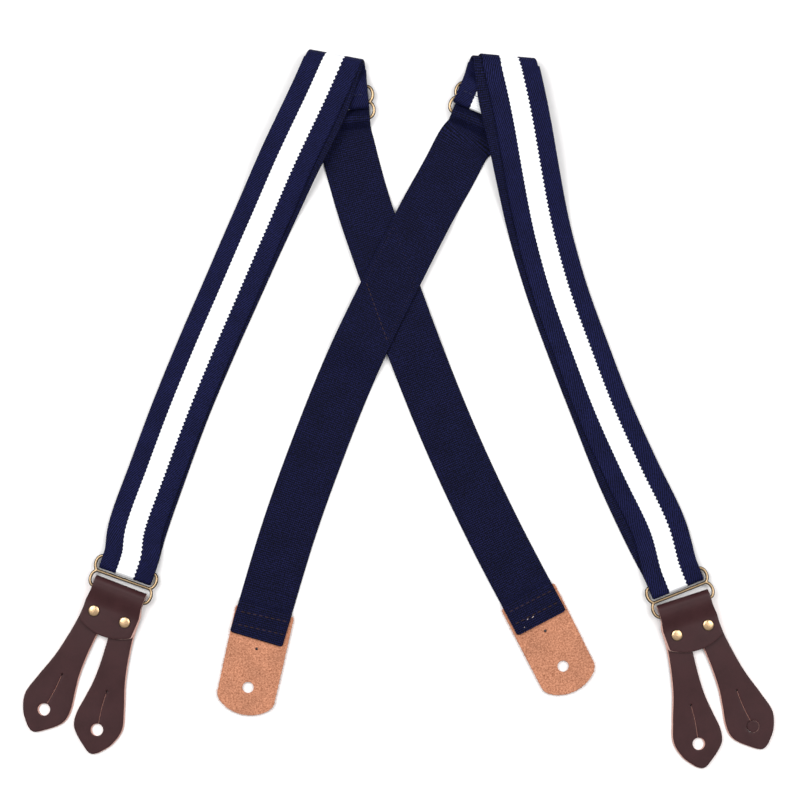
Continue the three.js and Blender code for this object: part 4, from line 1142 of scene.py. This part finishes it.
def fuzz_piece(name, outline, place, material, seed):
    """Loose fibres that stand out of a raw edge: each is a three-sided hair that leaves outwards, curls
    sideways with the square of its length, and tapers."""
    rng = np.random.default_rng(seed)
    count, steps, sides = 300, 5, 3
    pick = rng.integers(0, len(outline), count)
    normal = (offset_loop(outline, 1.0) - outline)[pick]
    tangent = np.stack([-normal[:, 1], normal[:, 0]], -1)
    length = rng.uniform(0.4, 1.7, count)[:, None, None]
    t = np.linspace(0, 1, steps)[None, :, None]
    curl = rng.uniform(-0.8, 0.8, count)[:, None, None]
    flat = (outline[pick][:, None] - normal[:, None] * 0.15 + normal[:, None] * length * t
            + tangent[:, None] * length * curl * t**2)
    root = rng.uniform(0.5, BACK_THICK - 0.15, count)[:, None]
    rise = rng.uniform(-0.3, 0.5, count)[:, None]
    z = root + rise * length[..., 0] * t[..., 0]
    angle = np.linspace(0, 2 * math.pi, sides, endpoint=False)
    radius = 0.08 * (1 - 0.85 * t)
    spin_flat = tangent[:, None, None] * (radius * np.cos(angle))[..., None]
    spin_z = (radius * np.sin(angle)) + z[..., None]
    points = np.concatenate([flat[:, :, None] + spin_flat, np.clip(spin_z, 0.1, 2.6)[..., None]], -1)
    block = np.array(ring_faces(steps, sides)[:-2])
    caps = np.array([[0, 1, 2], [(steps - 1) * sides + 2, (steps - 1) * sides + 1, (steps - 1) * sides]])
    offsets = np.arange(count)[:, None, None] * steps * sides
    faces = (offsets + block).reshape(-1, 4).tolist() + (offsets + caps).reshape(-1, 3).tolist()
    piece = make_piece(name, place(points.reshape(-1, 3)), faces, [material])
    fix_normals(piece)
    return piece


def fix_normals(piece):
    """Turns every face of closed shells outwards."""
    bm = bmesh.new()
    bm.from_mesh(piece.data)
    bmesh.ops.recalc_face_normals(bm, faces=bm.faces)
    bm.to_mesh(piece.data)
    bm.free()


# ------------------------------------------------------------------ thread
def stitches(name, starts, ends, lift, radius, material, slot):
    """Rows of stitches. Each is a tube that comes up out of its needle hole, arches by lift over the
    cloth, and goes down again: the height is lift times the square root of the sine."""
    starts, ends = np.array(starts, float), np.array(ends, float)
    steps, sides = 9, 8
    t = np.linspace(0, 1, steps)
    arch = np.sqrt(np.sin(math.pi * t).clip(0))
    centre = starts[:, None] + (ends - starts)[:, None] * t[None, :, None]
    needle_depth = 0.28
    centre[..., 2] += np.reshape(lift, (-1, 1)) * arch - needle_depth
    lateral = unit(np.cross([0, 0, 1.0], ends - starts))
    angle = np.linspace(0, 2 * math.pi, sides, endpoint=False)
    fat = radius * (0.55 + 0.45 * arch)
    points = (centre[:, :, None] + lateral[:, None, None] * (fat[None, :, None] * np.cos(angle))[..., None]
              + np.array([0, 0, 1.0]) * (fat[None, :, None] * np.sin(angle) * 0.8)[..., None])
    block = ring_faces(steps, sides)
    count = len(starts)
    faces = [[v + i * steps * sides for v in f] for i in range(count) for f in block]
    piece = make_piece(name, points.reshape(-1, 3), faces, [material])
    fix_normals(piece)
    length = np.linalg.norm(ends - starts, axis=1)[:, None, None]
    twist = length * t[None, :, None] * (2 * math.pi / PLY_PITCH) + angle[None, None, :]
    put_attribute(piece, "twist", "FLOAT", np.broadcast_to(twist, (count, steps, sides)))
    return piece


def row_of(start, end, pitch, length, height):
    """Starts and ends of evenly pitched stitches on a straight row, centred in it."""
    start, end = np.array(start, float), np.array(end, float)
    whole = np.linalg.norm(end - start)
    count = max(1, int((whole + pitch - length) // pitch))
    way = (end - start) / whole
    first = (whole - (count - 1) * pitch - length) / 2
    at = first + pitch * np.arange(count)[:, None]
    a, b = start + way * at, start + way * (at + length)
    z = np.full((count, 1), height)
    return np.hstack([a, z]), np.hstack([b, z])


# ------------------------------------------------------------------ operators
class BuildWebbing(bpy.types.Operator):
    """Weave both elastic straps, stretch by stretch, onto the bodies they ride on"""
    bl_idname = "suspenders.webbing"
    bl_label = "Webbing"

    def execute(self, context):
        webbing = context.scene.suspender_webbing
        material = webbing_material(webbing)
        for name, side in SIDES.items():
            build_strap(name, side, webbing, material)
        return {"FINISHED"}


class BuildCastings(bpy.types.Operator):
    """Cast the two front rings and the two strap slides"""
    bl_idname = "suspenders.castings"
    bl_label = "Rings and slides"

    def execute(self, context):
        metal = context.scene.suspender_metal
        material = brass_material(metal)
        for name, side in SIDES.items():
            def ring_place(p, side=side):
                """Tips the ring about its upper bar, and lays it on the table."""
                c, s = math.cos(RING_TILT), math.sin(RING_TILT)
                y, z = c * p[:, 1] - s * p[:, 2], s * p[:, 1] + c * p[:, 2] + RING_HEIGHT
                return turned(np.stack([p[:, 0], y, z], -1), side["ring_turn"], side["ring"])

            def slide_place(p, side=side):
                """Lays the slide on the webbing, its middle bar at its place."""
                return turned(p + (0, LOOP_PITCH, SLIDE_HEIGHT), side["slide_heading"], side["slide"])

            ring = casting(f"{name}_ring_casting", RING_END, ring_place, metal, material)
            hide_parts(f"{name}_front_ring")
            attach(ring, f"{name}_ring")
            slide = casting(f"{name}_slide_casting", SLIDE_END, slide_place, metal, material)
            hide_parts(f"{name}_slide")
            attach(slide, f"{name}_slide_body")
        return {"FINISHED"}


class BuildFrontTabs(bpy.types.Operator):
    """Cut, fold and punch the two forked front tabs, with the disc left in one button hole"""
    bl_idname = "suspenders.front_tabs"
    bl_label = "Front tabs"

    def execute(self, context):
        leather = context.scene.suspender_leather
        grain = grain_material("leather_grain_side", leather.grain, 0.44, 0.22)
        raw = raw_edge_material(leather)
        outline = tab_outline()
        holes = [keyhole(side) for side in (-1, 1)]
        for name, side in SIDES.items():
            place = tab_frame(side)
            tab = cut_leather(f"{name}_front_tab_leather", [outline, *holes], LEATHER,
                              leather.edge_radius / MM, (1.8, 0.8),
                              lambda p: place(tab_bend(p, side["lean"])), [grain, grain, raw])
            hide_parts(f"{name}_front_tab")
            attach(tab, f"{name}_tab")
            if side["plugged"]:
                x, y, radius = EAR_HOLE
                disc = cut_leather(f"{name}_punched_disc_leather", [circle(x, y, radius - DISC_GAP, 48)],
                                   LEATHER - 0.1, 0.2, (1.2, 1.2), place, [grain, grain, grain])
                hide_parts(f"{name}_tab_punched_disc")
                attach(disc, f"{name}_tab")
        return {"FINISHED"}


class BuildRivets(bpy.types.Operator):
    """Press the rivet caps and their backs"""
    bl_idname = "suspenders.rivets"
    bl_label = "Rivets"

    def execute(self, context):
        material = rivet_material(context.scene.suspender_metal)
        low = BAR_HEIGHT - WIRE - BAR_ROOM + FLAP_LIFT + LEATHER + 0.02
        cap = [(0, 1.0), (1.3, 1.0), (1.4, 1.1), (1.4, low - 0.1), (1.6, low), (RIVET_CAP - 0.25, low)]
        cap += dome(RIVET_CAP, low + 0.28, 1.12)
        cap[-1] = (0, cap[-1][1])
        back = [(0, 0.02), (1.0, 0.02), (1.5, 0.25), (2.4, 0.2), (3.0, 0.08), (3.4, 0.25), (3.5, 0.55),
                (3.4, 0.8), (0, 0.8)]
        for name, side in SIDES.items():
            place = tab_frame(side)
            for label, x in (("left", -RIVET[0]), ("right", RIVET[0])):
                for kind, profile, node in (("cap", cap, "rivet"), ("back", back, "rivet_back")):
                    points, faces = lathe(profile)
                    shifted = points + (x, RIVET[1], 0)
                    piece = make_piece(f"{name}_tab_{label}_rivet_{kind}", place(shifted), faces, [material])
                    fix_normals(piece)
                    radius = np.hypot(points[:, 0], points[:, 1])
                    # Painted shade: bright on the crown, falling to the darker colour at the rim.
                    put_attribute(piece, "wear_and_shade", "FLOAT", 1 - smooth(2.9, 3.6, radius))
                    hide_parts(f"{name}_tab_{label}_{node}")
                    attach(piece, f"{name}_tab")
        return {"FINISHED"}


class BuildBackTabs(bpy.types.Operator):
    """Cut and punch the two back tabs, flesh side up, with their fuzzy edges"""
    bl_idname = "suspenders.back_tabs"
    bl_label = "Back tabs"

    def execute(self, context):
        leather = context.scene.suspender_leather
        suede = suede_material(leather)
        grain = grain_material("leather_grain_under", leather.grain, 0.5, 0.3)
        outline = back_outline()
        holes = [circle(0, BACK_HOLE, BACK_HOLE_RADIUS, 56), circle(0, BACK_RELIEF, RELIEF_HOLE[2], 14)]
        for seed, (name, side) in enumerate(SIDES.items()):
            def place(p, side=side, seed=seed):
                """Lays the tab down, its upper side uneven by two sines multiplied."""
                dip = p.copy()
                dip[:, 2] += 0.12 * np.sin(p[:, 0] * 0.9 + seed) * np.sin(p[:, 1] * 0.7) * (p[:, 2] > 1.9)
                return turned(dip, side["back_tab_turn"], side["back_tab"])

            tab = cut_leather(f"{name}_back_tab_leather", [outline, *holes], BACK_THICK,
                              leather.edge_radius / MM, (1.0, 1.0), place, [suede, grain, suede])
            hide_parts(f"{name}_back_tab")
            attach(tab, f"{name}_back_tab_body")
            fuzz = fuzz_piece(f"{name}_back_tab_fibres", outline, place, suede, 11 + seed)
            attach(fuzz, f"{name}_back_tab_body")
        return {"FINISHED"}


def cross_outline(inset):
    """The rhombus that the two straps share, in from its edges."""
    side = 2 * HALF_WEB / math.sin(2 * CROSS_HALF_ANGLE) * (1 - inset / HALF_WEB)
    long, short = side * math.cos(CROSS_HALF_ANGLE), side * math.sin(CROSS_HALF_ANGLE)
    return turned([(0, -long), (short, 0), (0, long), (-short, 0)], math.degrees(CROSS_TURN))


class BuildPatch(bpy.types.Operator):
    """Cut the leather patch under the crossing"""
    bl_idname = "suspenders.patch"
    bl_label = "Cross patch"

    def execute(self, context):
        leather = context.scene.suspender_leather
        grain = grain_material("leather_grain_patch", leather.grain, 0.48, 0.3)
        raw = bpy.data.materials["leather_raw_edge"]
        corners = cross_outline(0.25)
        line = spaced(np.vstack([corners, corners[:1]]), 1.0)[:-1]
        patch = cut_leather("cross_patch_leather", [line], PATCH, 0.3, (2.0, 2.0), lambda p: p,
                            [grain, grain, raw])
        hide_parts("cross_patch")
        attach(patch, "back")
        return {"FINISHED"}


class BuildStitching(bpy.types.Operator):
    """Sew the crossing, the back tabs and the loops at the slides"""
    bl_idname = "suspenders.stitching"
    bl_label = "Stitching"

    def execute(self, context):
        brown = thread_material("waxed_brown_thread", "2e1517")
        navy = thread_material("waxed_navy_thread", "171a38")
        pale = thread_material("frayed_core_thread", "f0dcd6")
        corners = cross_outline(3.2)
        top = CROSS_HIGH + WEB / 2
        rows = [row_of(a, b, 3.3, 2.5, top) for a, b in zip(corners, np.roll(corners, -1, 0))]
        # The thread has sunk into the cloth, but along the lower left side it still lies on it.
        lifts = (0.11, 0.11, 0.11, 0.42)
        lift = np.concatenate([np.full(len(row[0]), high) for row, high in zip(rows, lifts)])
        piece = stitches("cross_stitches", *(np.vstack(part) for part in zip(*rows)), lift, 0.25, brown,
                         "thread_brown")
        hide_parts("cross_stitching")
        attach(piece, "back")
        # Three frayed ends on the left tab's lower row: their starts, and then their stops.
        frayed = [(-7.4, 6.0), (-3.9, 5.5), (-11.2, 2.3), (-6.1, 6.3), (-2.3, 6.1), (-10.6, 2.6)]
        on_tab, on_loop, slide_row = ON_BACK_TAB + WEB / 2, 7.0 + WEB / 2, 4.6
        for name, side in SIDES.items():
            place = side["back_tab_turn"], side["back_tab"]
            for i, y in enumerate(STITCH_ROWS):
                row = row_of(*turned([(-15.2, y), (15.2, y)], *place), 3.9, 2.9, on_tab)
                piece = stitches(f"{name}_back_tab_stitches_{i + 1}", *row, 0.5, 0.3, brown, "thread_brown")
                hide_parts(f"{name}_back_tab_stitching_{i + 1}")
                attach(piece, f"{name}_back_tab_body")
            if name == "left":
                loose = turned([(*point, on_tab) for point in frayed], *place)
                piece = stitches("left_back_tab_frayed_thread", loose[:3], loose[3:], 0.62, 0.17, pale,
                                 "thread_brown")
                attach(piece, "left_back_tab_body")
            shift = side["slide_return_shift"]
            ends = turned([(shift - 15.5, slide_row), (shift + 15.5, slide_row)], side["slide_heading"],
                          side["slide"])
            row = row_of(*ends, 3.6, 2.7, on_loop)
            piece = stitches(f"{name}_slide_stitches", *row, 0.45, 0.26, navy, "thread_navy")
            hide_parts(f"{name}_slide_stitching")
            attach(piece, f"{name}_slide_body")
        return {"FINISHED"}


class BuildStage(bpy.types.Operator):
    """Lay the pale floor, hang the soft lights and set the camera straight above"""
    bl_idname = "suspenders.stage"
    bl_label = "Floor, light and camera"

    def execute(self, context):
        scene = context.scene
        stage = scene.suspender_stage
        size, under = 4000.0, -0.1
        corners = [(x * size, y * size, under) for x, y in ((-1, -1), (1, -1), (1, 1), (-1, 1))]
        floor = make_piece("floor", corners, [[0, 1, 2, 3]], [floor_material(stage)])
        world = bpy.data.worlds.new("studio")
        world.use_nodes = True
        world.node_tree.nodes.clear()
        t = world.node_tree
        way = add(t, "ShaderNodeTexCoord").outputs["Generated"]
        level = add(t, "ShaderNodeSeparateXYZ", None, {0: way}).outputs["Z"]
        soft = add(t, "ShaderNodeMapRange", {"From Min": 0.0, "From Max": 0.95, "To Min": 0.03 * stage.world,
                                             "To Max": stage.world}, {"Value": level})
        sky = add(t, "ShaderNodeBackground", {"Color": (1.0, 1.0, 1.0, 1.0)}, {"Strength": soft})
        add(t, "ShaderNodeOutputWorld", None, {"Surface": sky})
        scene.world = world
        for name, place, power in (("key", (-0.75, 0.35, 1.3), stage.key_power),
                                   ("fill", (0.85, 0.2, 1.3), stage.key_power * 0.8)):
            light = bpy.data.lights.new(name, "AREA")
            light.shape, light.size, light.energy = "SQUARE", 1.0, power
            lamp = bpy.data.objects.new(name, light)
            scene.collection.objects.link(lamp)
            lamp.location = place
            aim = np.array([0.0, -0.08, 0.0]) - np.array(place)
            steep = math.atan2(math.hypot(aim[0], aim[1]), -aim[2])
            lamp.rotation_euler = (steep, 0, math.atan2(aim[1], aim[0]) - math.pi / 2)
        data = bpy.data.cameras.new("camera")
        data.lens, data.sensor_width = stage.lens, 36.0
        data.clip_start, data.clip_end = 0.01, 50.0
        camera = bpy.data.objects.new("camera", data)
        camera.location = (0.0061, -0.0745, stage.height)
        scene.collection.objects.link(camera)
        scene.camera = camera
        scene.view_settings.view_transform = "Standard"
        return {"FINISHED"}


class SuspendersPanel(bpy.types.Panel):
    """Lists the pieces in the order in which they are made"""
    bl_idname = "VIEW3D_PT_suspenders"
    bl_label = "Suspenders"
    bl_space_type = "VIEW_3D"
    bl_region_type = "UI"
    bl_category = "Suspenders"

    def draw(self, context):
        for group in GROUPS:
            box = self.layout.box()
            settings = getattr(context.scene, group)
            for key in settings.bl_rna.properties.keys():
                if key not in ("rna_type", "name"):
                    box.prop(settings, key)
        for step in STEPS:
            self.layout.operator(step.bl_idname)


GROUPS = {"suspender_webbing": SuspenderWebbing, "suspender_leather": SuspenderLeather,
          "suspender_metal": SuspenderMetal, "suspender_stage": SuspenderStage}
STEPS = (BuildStage, BuildWebbing, BuildCastings, BuildFrontTabs, BuildRivets, BuildBackTabs, BuildPatch,
         BuildStitching)


def register():
    for kind in (*GROUPS.values(), *STEPS, SuspendersPanel):
        bpy.utils.register_class(kind)
    for name, kind in GROUPS.items():
        setattr(bpy.types.Scene, name, PointerProperty(type=kind))


def unregister():
    for name in GROUPS:
        delattr(bpy.types.Scene, name)
    for kind in reversed((*GROUPS.values(), *STEPS, SuspendersPanel)):
        bpy.utils.unregister_class(kind)


def main():
    register()
    for step in STEPS:
        group, call = step.bl_idname.split(".")
        getattr(getattr(bpy.ops, group), call)()
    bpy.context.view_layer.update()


if __name__ == "__main__":
    main()
